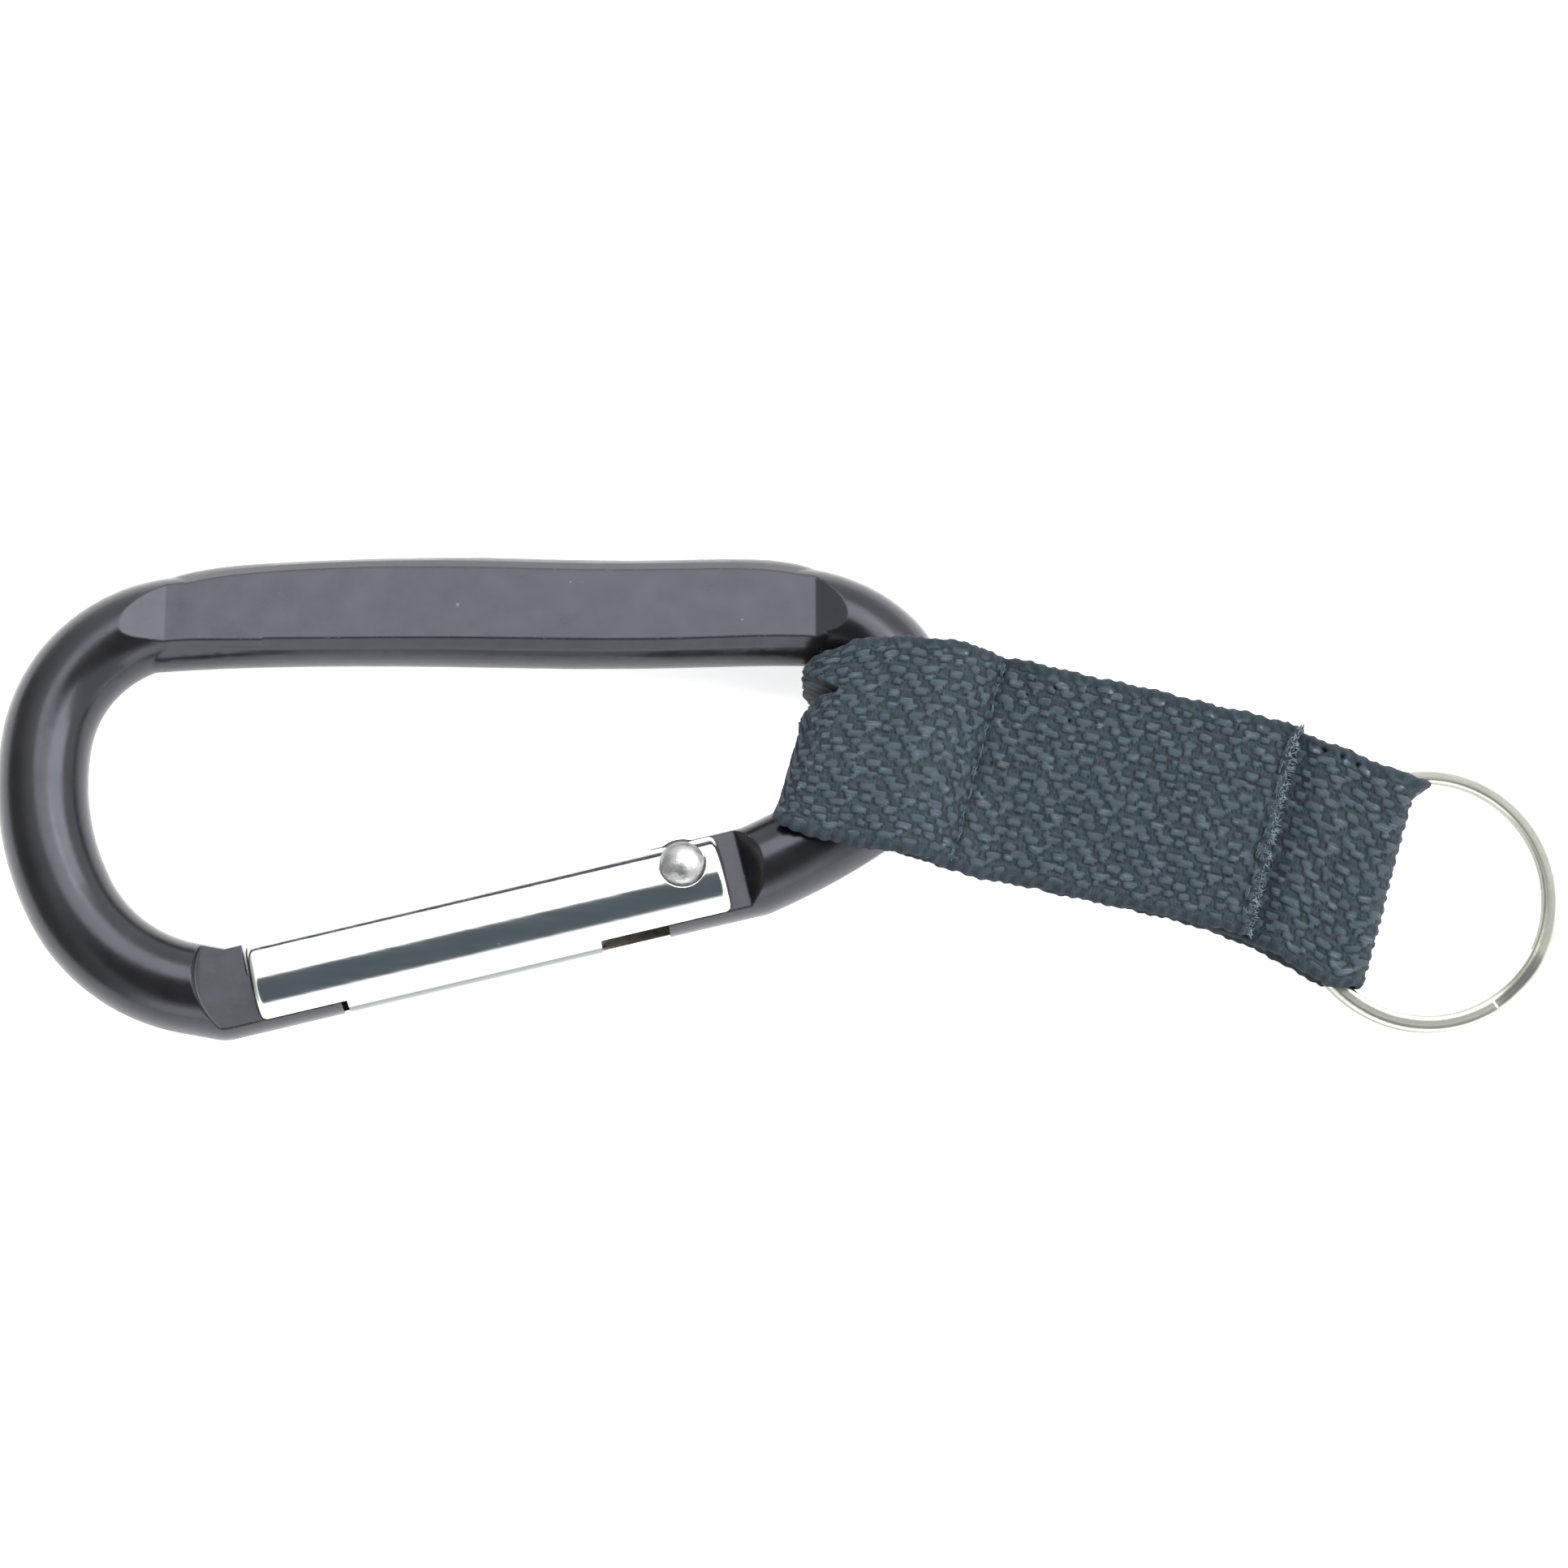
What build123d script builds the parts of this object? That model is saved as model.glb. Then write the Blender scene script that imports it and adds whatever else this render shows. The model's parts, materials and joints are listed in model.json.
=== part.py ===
"""Carabiner keyring: aluminium snap hook, sprung gate, folded webbing strap and double-coil split ring.

Millimetres, lying flat as on a table: +Z up, +X from the hook's wide end towards the split ring,
+Y from the gate towards the spine. The origin is the middle of the whole keyring's footprint.
"""
from build123d import *
import os
from math import acos, atan2, cos, hypot, radians, sin, sqrt

os.makedirs("parts", exist_ok=True)

# ---- driving dimensions: hook ----
BAR_R = 3.75             # round bar the hook is forged from, 7.5 mm
WEB_T = 1.1              # webbing thickness
WEB_GAP = 0.08           # air between webbing and bar
LIFT = BAR_R + WEB_GAP + WEB_T    # height of the hook's middle plane over the table

FRONT_X = 64.713          # hook's wide end lies this far behind the origin
MID_Y = -0.230             # hook frame's X axis, measured from the origin

SPINE_HALF_T = 2.85      # half thickness of the pressed spine
SPINE_FLAT_Y = 3.05      # half width of its flat face
SPINE_BEVEL_Y = 3.85     # half width at the foot of the die's bevel
SPINE_BEVEL_Z = 2.15
SPINE_HALF_W = 4.7       # half width at the middle plane
SPINE_X0 = 13.85         # pressed flat runs from here
SPINE_X1 = 67.9          # to here
RAMP_LEFT = 3.75         # length of the die's run-out at the wide end
RAMP_RIGHT = 2.7         # and at the narrow end

LEFT_START = (15.69, 15.35)
LEFT_BEND = [(11.79, 82.1), (22.7, 36.6), (14.4, 51.0)]      # radius, turn in degrees
RIGHT_START = (65.35, 16.2)
CROWN_R = 9.17
RIGHT_BEND = [(11.7, 35.6), (CROWN_R, 108.7), (51.3, 11.5)]

# ---- driving dimensions: gate, seen in its own frame: origin on the rivet, X along the gate ----
RIVET_XY = (56.96, -6.43)
GATE_SLOPE = 13.55       # gate rises towards the hinge
GATE_R = 3.75
GATE_AXIS_Y = -1.16      # gate's centre line lies this far outside the rivet
GATE_NOSE_X = -36.35     # free end
GATE_HINGE_X = 3.31      # hinged end
GATE_EDGE = 0.7          # rounding of both ends
SLOT_HALF_T = 1.9        # slots in the gate are 3.8 mm wide
NOSE_SLOT_X = -29.1      # end of the slot in the free end
NOSE_SLOT_Y = 0.15       # its floor
CLEVIS_X = -3.9          # end of the slot that goes right through at the hinge
RUNOUT_X = -7.9          # end of the cutter's run-out beyond it
BORE_R = 1.36
BORE_END_X = -17.6
RIVET_R = 1.25
RIVET_CLEAR = 0.05
RIVET_HEAD_R = 1.9
RIVET_HEAD_Z = 3.3       # seat of the rivet's heads, above the middle plane
RIVET_DOME = 1.0
SEAT_R = 2.0
SEAT_Z = 3.25

TIP_X = -3.33            # centre of the plunger's round tip
PLUNGER_R = 1.3
PLUNGER_BACK_X = -8.6
SPRING_WIRE_R = 0.17
SPRING_R = 1.1
SPRING_TURNS = 10

# ---- driving dimensions: the body's two pressed ends, in the gate's frame ----
TONGUE_HALF_T = 1.8      # pressed to 3.6 mm
TONGUE_Y = -0.4          # latch tongue's inner edge
TONGUE_TIP_X = -29.6
COLLAR_X = -36.55        # full width up to here
NOSE_DIE = [(-39.8, 2.9), (-40.9, -0.3), (-39.1, -4.9)]      # three points of the nose's round shoulder
HINGE_DIE_X = 4.8        # foot of the hinge end's shoulder
HINGE_SHOULDER = 1.7     # its length; it rises to the bar's full thickness
TANG_X = -2.2            # tang's outer part starts here
TANG_STEP = [(-2.2, -3.1), (-1.24, -2.624)]
BOSS_R = 2.5             # tang's boss round the rivet
CAM_ANGLE = 24.0         # slope of the tang's cam face, which the plunger bears on
CAM_DISTANCE = 2.2       # from the rivet to that face
CAM_CORNER = 1.8         # from the foot of that distance to the cam's corner

# ---- driving dimensions: strap, in its own frame: U along the strap, V across it, W up ----
STRAP_AT = (75.48, 3.48) # origin, on the crown's centre line
STRAP_SLOPE = -15.0      # the strap runs off this far below the spine's direction
STRAP_V0 = -8.45         # selvedges, 18.65 mm apart: 3/4 inch webbing
STRAP_V1 = 10.2
CROWN_V = 0.75           # crown's centre in the strap's frame
LOOP_BACK_U = -10.2      # outside of the loop's free fold
LOOP_CORNER = 2.7        # outer rounding of that fold
FOLD_HALF_V = 4.7        # half width of the fold's wall, between the hook's two sides
SEW_U = 4.0              # the sewn part starts to slope down here
SEW_IN_U = 5.0           # inside end of the loop's cavity
TILT = 2.0               # slope of the sewn part, down to the table
ROLL = 10.0              # and its roll about its own length, V's far side up
BEND_S = 5.0             # where the strap bends, measured along the sewn part
# Selvedges of the loop's upper and lower halves (U, V), drawn in where the strap is folded askew.
UPPER_EDGES = [(-11, -9.0), (-10.2, -9.3), (-9.3, -9.8), (-5, -9.8), (0, -9.3), (4, -8.7), (7, STRAP_V0),
               (9, STRAP_V0), (9, STRAP_V1), (3.2, STRAP_V1), (-0.8, 9.25), (-3.7, 8.6), (-8.2, 7.0),
               (-9.6, 6.0), (-11, 5.2)]
LOWER_EDGES = [(-11, -5.2), (-9.6, -6.3), (2, -6.6), (6.5, -8.0), (9, STRAP_V0), (9, STRAP_V1),
               (2, STRAP_V1), (-8.2, 7.6), (-9.6, 6.6), (-11, 5.6)]
LOOP_REACH = 10.4        # half width that takes in both
# Selvedges of the sewn part (S, V).
TAIL_EDGES = [(2, STRAP_V0), (9.6, -7.85), (17, -7.5), (22, -7.25), (26.5, -7.6), (31, -8.3), (34.8, -9.2),
              (35.8, -8.7), (39, -8.7), (39, 8.2), (35.8, 8.2), (34.8, 9.4), (29, 10.3), (25, 10.85),
              (20, 10.9), (13, 10.6), (2, STRAP_V1)]
TAIL_REACH = 11.0        # half width that takes them in
LOOP_END_S = 3.1         # loop's half of the strap ends here
LAYERS_HALF = 1.5 * WEB_T         # half of three layers
ROW_LOOP_S = 1.75        # stitch row that closes the loop round the bar
ROW_RING_S = 26.1        # stitch row that closes the loop round the ring
RAW_END_S = 27.5         # cut end of the front layer
RING_FOLD_S = 37.3       # outside of the fold round the ring
POCKET_S = 29.4          # full height of the pocket starts here
POCKET_HALF = 1.05       # half height inside the ring's pocket
POCKET_CORNER = 1.5      # outer rounding of its fold

RING_S = 40.5            # ring's centre
RING_V = -0.25
RING_OUT_R = 11.0
WIRE_RADIAL = 1.4
WIRE_HEIGHT = 0.85
COIL_GAP = 0.04
WIRE_ROUND = 0.4
JOG_HALF = 16.0          # the wire climbs from one turn to the next over twice this many degrees
JOG_AT = -26.0           # middle of that climb, from the strap's direction

THREAD_R = 0.16
STITCH_PITCH = 1.8
STITCHES = 10


# ---- planes ----
hook = Plane(origin=(-FRONT_X, MID_Y, LIFT), x_dir=(1, 0, 0), z_dir=(0, 0, 1))
rivet_at = hook.from_local_coords(Vector(*RIVET_XY, 0))
gate_dir = (cos(radians(GATE_SLOPE)), sin(radians(GATE_SLOPE)), 0)
gate_plan = Plane(origin=rivet_at, x_dir=gate_dir, z_dir=(0, 0, 1))


def along_gate(x, y=GATE_AXIS_Y):
    """A plane across the gate's direction, X pointing inwards, normal towards the hinge."""
    return Plane(
        origin=gate_plan.from_local_coords(Vector(x, y, 0)),
        x_dir=gate_plan.y_dir,
        z_dir=gate_plan.x_dir,
    )


def bend_points(start, heading, bends, side):
    """Ends, middles and heading of a run of tangent arcs; side is +1 to turn left, -1 to turn right."""
    x, y = start
    points = []
    for radius, turn in bends:
        cx = x - side * radius * sin(heading)
        cy = y + side * radius * cos(heading)
        for share in (0.5, 1.0):
            at = heading + side * radians(turn) * share
            points.append((cx + side * radius * sin(at), cy - side * radius * cos(at)))
        heading = heading + side * radians(turn)
        x, y = points[-1]
    return points, heading


left_points, nose_heading = bend_points(LEFT_START, radians(180), LEFT_BEND, 1)
right_points, hinge_heading = bend_points(RIGHT_START, 0.0, RIGHT_BEND, -1)


def meet_gate_line(point, heading):
    """Where the bar, carried straight on from point, crosses the gate's centre line."""
    px = point[0] - RIVET_XY[0]
    py = point[1] - RIVET_XY[1]
    slope = radians(GATE_SLOPE)
    off = -px * sin(slope) + py * cos(slope) - GATE_AXIS_Y
    run = -off / sin(heading - slope)
    return (point[0] + run * cos(heading), point[1] + run * sin(heading))


nose_corner = meet_gate_line(left_points[-1], nose_heading)
hinge_corner = meet_gate_line(right_points[-1], hinge_heading)
nose_corner_x = gate_plan.to_local_coords(hook.from_local_coords(Vector(*nose_corner, 0))).X
hinge_corner_x = gate_plan.to_local_coords(hook.from_local_coords(Vector(*hinge_corner, 0))).X


def spine_section(at, centre_y, half_w, flat_y):
    """Pressed section of the spine, with its two bevels, on a plane across the spine."""
    share = half_w / SPINE_HALF_W
    bevel_y = flat_y + (SPINE_BEVEL_Y - SPINE_FLAT_Y) * share
    top = SPINE_HALF_T + 0.25
    top_y = flat_y - 0.25 * (bevel_y - flat_y) / (SPINE_HALF_T - SPINE_BEVEL_Z)
    across = Plane(hook.from_local_coords(Vector(at, centre_y, 0)), x_dir=(0, 1, 0), z_dir=(1, 0, 0))
    with BuildSketch(across) as section:
        with BuildLine():
            Polyline((-bevel_y, -SPINE_BEVEL_Z), (-top_y, -top), (top_y, -top), (bevel_y, -SPINE_BEVEL_Z))
            ThreePointArc((bevel_y, -SPINE_BEVEL_Z), (half_w, 0), (bevel_y, SPINE_BEVEL_Z))
            Polyline((bevel_y, SPINE_BEVEL_Z), (top_y, top), (-top_y, top), (-bevel_y, SPINE_BEVEL_Z))
            ThreePointArc((-bevel_y, SPINE_BEVEL_Z), (-half_w, 0), (-bevel_y, -SPINE_BEVEL_Z))
        make_face()
    return section.sketch


cam_normal = (-cos(radians(CAM_ANGLE)), -sin(radians(CAM_ANGLE)))
cam_corner = (
    cam_normal[0] * CAM_DISTANCE - sin(radians(CAM_ANGLE)) * CAM_CORNER,
    cam_normal[1] * CAM_DISTANCE + cos(radians(CAM_ANGLE)) * CAM_CORNER,
)
corner_far = hypot(*cam_corner)
boss_at = atan2(cam_corner[1], cam_corner[0]) - acos(BOSS_R / corner_far)
boss_tangent = (BOSS_R * cos(boss_at), BOSS_R * sin(boss_at))


# Stations of the spine: where, centre line, half width, half width of the flat.
SPINE_STATIONS = [
    (9.6, 13.55, 2.9, 1.6),
    (SPINE_X0, 15.05, 4.0, 2.3),
    (20.3, 15.8, 4.42, 2.8),
    (40.5, 16.12, SPINE_HALF_W, SPINE_FLAT_Y),
    (60.0, 16.1, 4.62, 2.98),
    (SPINE_X1, 15.65, 4.15, 2.5),
    (71.8, 13.9, 2.9, 1.6),
]

# ---- carabiner body ----
with BuildPart() as body:
    with BuildLine(hook) as left_path:
        Line((22.0, LEFT_START[1]), LEFT_START)
        ThreePointArc(LEFT_START, left_points[0], left_points[1])
        ThreePointArc(left_points[1], left_points[2], left_points[3])
        ThreePointArc(left_points[3], left_points[4], left_points[5])
        Line(left_points[5], nose_corner)
    with BuildSketch(Plane(hook.from_local_coords(Vector(22.0, LEFT_START[1], 0)),
                           x_dir=(0, 1, 0), z_dir=(1, 0, 0))):
        Circle(BAR_R)
    sweep(path=left_path.wires()[0])
    with BuildLine(hook) as right_path:
        Line((60.0, RIGHT_START[1]), RIGHT_START)
        ThreePointArc(RIGHT_START, right_points[0], right_points[1])
        ThreePointArc(right_points[1], right_points[2], right_points[3])
        ThreePointArc(right_points[3], right_points[4], right_points[5])
        Line(right_points[5], hinge_corner)
    with BuildSketch(Plane(hook.from_local_coords(Vector(60.0, RIGHT_START[1], 0)),
                           x_dir=(0, 1, 0), z_dir=(1, 0, 0))):
        Circle(BAR_R)
    sweep(path=right_path.wires()[0])
    # pressed spine
    add(loft([spine_section(*station) for station in SPINE_STATIONS]))
    # the two free ends run on along the gate's line, each with a rounded corner
    for corner in (nose_corner, hinge_corner):
        with Locations(hook.from_local_coords(Vector(*corner, 0))):
            Sphere(BAR_R)
    with BuildSketch(along_gate(nose_corner_x)):
        Circle(BAR_R)
    extrude(amount=TONGUE_TIP_X - nose_corner_x)
    with BuildSketch(along_gate(TANG_X)):
        Circle(BAR_R)
    extrude(amount=hinge_corner_x - TANG_X)

    # dies: the spine's flat with a run-out at each end
    spine_side = Plane(hook.from_local_coords(Vector(0, 16, 0)), x_dir=(1, 0, 0), z_dir=(0, -1, 0))
    rise = 2.2 * (BAR_R - SPINE_HALF_T)
    with BuildSketch(spine_side):
        for side in (1, -1):
            with BuildLine():
                Polyline(
                    (SPINE_X0 - 2.2 * RAMP_LEFT, side * (SPINE_HALF_T + rise)),
                    (SPINE_X0, side * SPINE_HALF_T),
                    (SPINE_X1, side * SPINE_HALF_T),
                    (SPINE_X1 + 2.2 * RAMP_RIGHT, side * (SPINE_HALF_T + rise)),
                    close=True,
                )
            make_face()
    extrude(amount=8, both=True, mode=Mode.SUBTRACT)
    # the nose's die has a round, upright shoulder
    for way in (1, -1):
        with BuildSketch(gate_plan.offset(way * TONGUE_HALF_T)):
            with BuildLine():
                ThreePointArc(*NOSE_DIE)
                Polyline(NOSE_DIE[2], (NOSE_DIE[2][0], -7), (TONGUE_TIP_X + 1, -7), (TONGUE_TIP_X + 1, 5),
                         (NOSE_DIE[0][0], 5), NOSE_DIE[0])
            make_face()
        extrude(amount=way * 4, mode=Mode.SUBTRACT)
    # the hinge end's has a sloping one
    end_side = Plane(gate_plan.from_local_coords(Vector(0, GATE_AXIS_Y, 0)), x_dir=gate_dir,
                     z_dir=gate_plan.y_dir * -1)
    climb = BAR_R - TONGUE_HALF_T
    with BuildSketch(end_side):
        for side in (1, -1):
            with BuildLine():
                Polyline(
                    (-6, side * (TONGUE_HALF_T + 2 * climb)),
                    (-6, side * TONGUE_HALF_T),
                    (HINGE_DIE_X, side * TONGUE_HALF_T),
                    (HINGE_DIE_X + 2 * HINGE_SHOULDER, side * (TONGUE_HALF_T + 2 * climb)),
                    close=True,
                )
            make_face()
    extrude(amount=5.2, both=True, mode=Mode.SUBTRACT)

    # latch tongue: only the outer part runs on into the gate's slot
    with BuildSketch(gate_plan):
        with BuildLine():
            Polyline((COLLAR_X, TONGUE_Y), (TONGUE_TIP_X + 1, TONGUE_Y), (TONGUE_TIP_X + 1, 4), (COLLAR_X, 4),
                     close=True)
        make_face()
    extrude(amount=5, both=True, mode=Mode.SUBTRACT)

    # hinge tang: the boss round the rivet, then room for the plunger in front of the cam face
    with BuildSketch(gate_plan):
        with BuildLine():
            Polyline(TANG_STEP[1], cam_corner, boss_tangent, (0, 1.5), (3, 1.5), (3, -2), close=True)
        make_face()
        Circle(BOSS_R)
    extrude(amount=TONGUE_HALF_T, both=True)
    with BuildSketch(gate_plan):
        with BuildLine():
            Polyline((-6, TANG_STEP[0][1]), *TANG_STEP, cam_corner, (-6, cam_corner[1]), close=True)
        make_face()
    extrude(amount=5, both=True, mode=Mode.SUBTRACT)
    with BuildSketch(gate_plan):
        Circle(RIVET_R + RIVET_CLEAR)
    extrude(amount=4, both=True, mode=Mode.SUBTRACT)
body.part.label = "carabiner_body"
export_step(body.part, "parts/carabiner_body.step")

# ---- gate ----
with BuildPart() as gate:
    with BuildSketch(along_gate(GATE_NOSE_X)):
        Circle(GATE_R)
    extrude(amount=GATE_HINGE_X - GATE_NOSE_X)
    fillet(gate.edges().filter_by(GeomType.CIRCLE), GATE_EDGE)
    # slot for the latch tongue, open outwards
    with BuildSketch(gate_plan):
        with BuildLine():
            Polyline((GATE_NOSE_X - 1, -6), (NOSE_SLOT_X, -6), (NOSE_SLOT_X, NOSE_SLOT_Y),
                     (GATE_NOSE_X - 1, NOSE_SLOT_Y), close=True)
        make_face()
    extrude(amount=SLOT_HALF_T, both=True, mode=Mode.SUBTRACT)
    # slot for the tang, right through, and the cutter's run-out on the outer side
    with BuildSketch(gate_plan):
        with BuildLine():
            Line((CLEVIS_X, -2.75), (CLEVIS_X, 4))
            Line((CLEVIS_X, 4), (GATE_HINGE_X + 1, 4))
            Line((GATE_HINGE_X + 1, 4), (GATE_HINGE_X + 1, -6))
            Line((GATE_HINGE_X + 1, -6), (RUNOUT_X, -6))
            Line((RUNOUT_X, -6), (RUNOUT_X, -4.0))
            ThreePointArc((RUNOUT_X, -4.0), (-6.6, -3.15), (CLEVIS_X, -2.75))
        make_face()
    extrude(amount=SLOT_HALF_T, both=True, mode=Mode.SUBTRACT)
    # bore for the spring and the plunger
    with BuildSketch(along_gate(BORE_END_X)):
        Circle(BORE_R)
    extrude(amount=CLEVIS_X - BORE_END_X + 0.5, mode=Mode.SUBTRACT)
    # rivet hole and the spot faces under the rivet's heads
    with BuildSketch(gate_plan):
        Circle(RIVET_R + 0.01)
    extrude(amount=5, both=True, mode=Mode.SUBTRACT)
    for side in (1, -1):
        with BuildSketch(gate_plan.offset(side * SEAT_Z)):
            Circle(SEAT_R)
        extrude(amount=side * 2, mode=Mode.SUBTRACT)
gate.part.label = "gate"
export_step(gate.part, "parts/gate.step")

# ---- hinge rivet: shank with a domed head on each side ----
dome_r = (RIVET_HEAD_R**2 + RIVET_DOME**2) / (2 * RIVET_DOME)
with BuildPart() as rivet:
    for side in (1, -1):
        with Locations(rivet_at + Vector(0, 0, side * (RIVET_HEAD_Z + RIVET_DOME - dome_r))):
            Sphere(dome_r)
    with Locations(rivet_at):
        Cylinder(dome_r + 1, 2 * RIVET_HEAD_Z, mode=Mode.SUBTRACT)
        Cylinder(RIVET_R, 2 * RIVET_HEAD_Z + 0.2)
rivet.part.label = "hinge_rivet"
export_step(rivet.part, "parts/hinge_rivet.step")

# ---- spring plunger ----
with BuildPart() as plunger:
    with BuildSketch(along_gate(PLUNGER_BACK_X)):
        Circle(PLUNGER_R)
    extrude(amount=TIP_X - PLUNGER_BACK_X)
    with Locations(gate_plan.from_local_coords(Vector(TIP_X, GATE_AXIS_Y, 0))):
        Sphere(PLUNGER_R)
plunger.part.label = "spring_plunger"
export_step(plunger.part, "parts/spring_plunger.step")

# ---- gate spring ----
coil_from = BORE_END_X + SPRING_WIRE_R + 0.03
coil_to = PLUNGER_BACK_X - SPRING_WIRE_R - 0.03
with BuildPart() as spring:
    with BuildLine() as coil:
        Helix(
            pitch=(coil_to - coil_from) / SPRING_TURNS,
            height=coil_to - coil_from,
            radius=SPRING_R,
            center=along_gate(coil_from).origin,
            direction=gate_plan.x_dir,
        )
    with BuildSketch(Plane(coil.line @ 0, z_dir=coil.line % 0)):
        Circle(SPRING_WIRE_R)
    sweep(path=coil.line, is_frenet=True)
spring.part.label = "gate_spring"
export_step(spring.part, "parts/gate_spring.step")

# ---- strap: the loop round the hook ----
strap_dir = Vector(cos(radians(STRAP_SLOPE)), sin(radians(STRAP_SLOPE)), 0)
strap = Plane(hook.from_local_coords(Vector(*STRAP_AT, 0)), x_dir=strap_dir, z_dir=(0, 0, 1))
strap_side = Plane(strap.origin, x_dir=strap_dir, z_dir=strap.y_dir * -1)
sewn_at = strap.from_local_coords(Vector(SEW_U, 0, 0))
sewn_dir = strap_dir * cos(radians(TILT)) - Vector(0, 0, sin(radians(TILT)))
lap = Plane(sewn_at, x_dir=sewn_dir, z_dir=sewn_dir.cross(strap.y_dir))
lap_side = Plane(sewn_at, x_dir=sewn_dir, z_dir=lap.y_dir * -1)
sewn = Plane(sewn_at, x_dir=sewn_dir, z_dir=lap.z_dir * cos(radians(ROLL)) - lap.y_dir * sin(radians(ROLL)))
sewn_side = Plane(sewn_at, x_dir=sewn_dir, z_dir=sewn.y_dir * -1)


def on_side(s, w):
    """A point of the sewn loop end's side view, in the strap's side view."""
    at = strap_side.to_local_coords(lap_side.from_local_coords(Vector(s, w, 0)))
    return (at.X, at.Y)


def tangent_point(point, radius, side):
    """Where the line from point touches the circle round the origin, above (side 1) or below it."""
    far = hypot(*point)
    at = atan2(point[1], point[0]) + side * acos(radius / far)
    return (radius * cos(at), radius * sin(at))


def loop_outline(thick):
    """Closed outline of the loop in side view, outside (thick = WEB_T) or inside (thick = 0)."""
    radius = BAR_R + WEB_GAP + thick
    back = LOOP_BACK_U + WEB_T - thick
    corner = LOOP_CORNER - WEB_T + thick
    throat = SEW_IN_U - SEW_U
    if thick > 0:
        upper = on_side(throat + 0.55, LAYERS_HALF)
        lower = on_side(throat + 0.55, -LAYERS_HALF)
        ends = [upper, on_side(LOOP_END_S, LAYERS_HALF), on_side(LOOP_END_S, -LAYERS_HALF), lower]
    else:
        upper = on_side(throat, LAYERS_HALF - WEB_T)
        lower = on_side(throat, -LAYERS_HALF + WEB_T)
        ends = [upper, lower]
    top = tangent_point(upper, radius, 1)
    bottom = tangent_point(lower, radius, -1)
    bow = radius * sqrt(0.5)
    nick = corner * (1 - sqrt(0.5))
    Polyline(top, *ends, bottom)
    ThreePointArc(bottom, (bottom[0] / 2, -sqrt(radius**2 - bottom[0] ** 2 / 4)), (0, -radius))
    Line((0, -radius), (back + corner, -radius))
    ThreePointArc((back + corner, -radius), (back + nick, -radius + nick), (back, -radius + corner))
    Line((back, -radius + corner), (back, radius - corner))
    ThreePointArc((back, radius - corner), (back + nick, radius - nick), (back + corner, radius))
    Line((back + corner, radius), (0, radius))
    ThreePointArc((0, radius), (top[0] / 2, sqrt(radius**2 - top[0] ** 2 / 4)), top)


with BuildPart() as loop:
    with BuildSketch(strap_side):
        with BuildLine():
            loop_outline(WEB_T)
        make_face()
    extrude(amount=LOOP_REACH, both=True)
    with BuildSketch(strap_side):
        with BuildLine():
            loop_outline(0)
        make_face()
    extrude(amount=LOOP_REACH + 1, both=True, mode=Mode.SUBTRACT)
    # the fold's wall passes between the hook's two sides; beyond them the flaps lie over and under the bar
    under = BAR_R + WEB_GAP + 0.02
    for wall_end, way in ((CROWN_V + FOLD_HALF_V, 1), (CROWN_V - FOLD_HALF_V, -1)):
        with BuildSketch(strap):
            with BuildLine():
                Polyline((LOOP_BACK_U - 1, wall_end), (-2, wall_end), (-2, wall_end + way * 12),
                         (LOOP_BACK_U - 1, wall_end + way * 12), close=True)
            make_face()
        extrude(amount=under, both=True, mode=Mode.SUBTRACT)
    # selvedges draw in towards the fold
    with BuildPart(mode=Mode.INTERSECT):
        for edges, way in ((UPPER_EDGES, 1), (LOWER_EDGES, -1)):
            with BuildSketch(strap):
                with BuildLine():
                    Polyline(*edges, close=True)
                make_face()
            extrude(amount=way * 8)
loop.part.label = "webbing_loop"
export_step(loop.part, "parts/webbing_loop.step")

# ---- strap: the sewn part and the fold round the ring ----
outer_half = POCKET_HALF + WEB_T
front_step = LAYERS_HALF - WEB_T + 0.1
cavity_end = RING_FOLD_S - WEB_T
nick = POCKET_CORNER * (1 - sqrt(0.5))
with BuildPart() as tail:
    with BuildSketch(sewn_side):
        with BuildLine():
            ThreePointArc((BEND_S, LAYERS_HALF), (BEND_S - LAYERS_HALF, 0), (BEND_S, -LAYERS_HALF))
            Polyline((BEND_S, -LAYERS_HALF), (RAW_END_S, -LAYERS_HALF), (POCKET_S, -outer_half),
                     (RING_FOLD_S - POCKET_CORNER, -outer_half))
            ThreePointArc((RING_FOLD_S - POCKET_CORNER, -outer_half), (RING_FOLD_S - nick, -outer_half + nick),
                          (RING_FOLD_S, -outer_half + POCKET_CORNER))
            Line((RING_FOLD_S, -outer_half + POCKET_CORNER), (RING_FOLD_S, outer_half - POCKET_CORNER))
            ThreePointArc((RING_FOLD_S, outer_half - POCKET_CORNER), (RING_FOLD_S - nick, outer_half - nick),
                          (RING_FOLD_S - POCKET_CORNER, outer_half))
            Polyline((RING_FOLD_S - POCKET_CORNER, outer_half), (POCKET_S, outer_half), (RAW_END_S, front_step),
                     (RAW_END_S, LAYERS_HALF), (BEND_S, LAYERS_HALF))
        make_face()
    extrude(amount=TAIL_REACH, both=True)
    with BuildSketch(sewn_side):
        with BuildLine():
            Polyline((POCKET_S - 1.1, -0.4), (POCKET_S, -POCKET_HALF), (cavity_end - 0.4, -POCKET_HALF),
                     (cavity_end, -POCKET_HALF + 0.4), (cavity_end, POCKET_HALF - 0.4),
                     (cavity_end - 0.4, POCKET_HALF), (POCKET_S, POCKET_HALF), close=True)
        make_face()
    extrude(amount=TAIL_REACH + 1, both=True, mode=Mode.SUBTRACT)
    with BuildSketch(sewn):
        with BuildLine():
            Polyline(*TAIL_EDGES, close=True)
        make_face()
    extrude(amount=5, both=True, mode=Mode.INTERSECT)
tail.part.label = "webbing_tail"
export_step(tail.part, "parts/webbing_tail.step")


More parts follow.
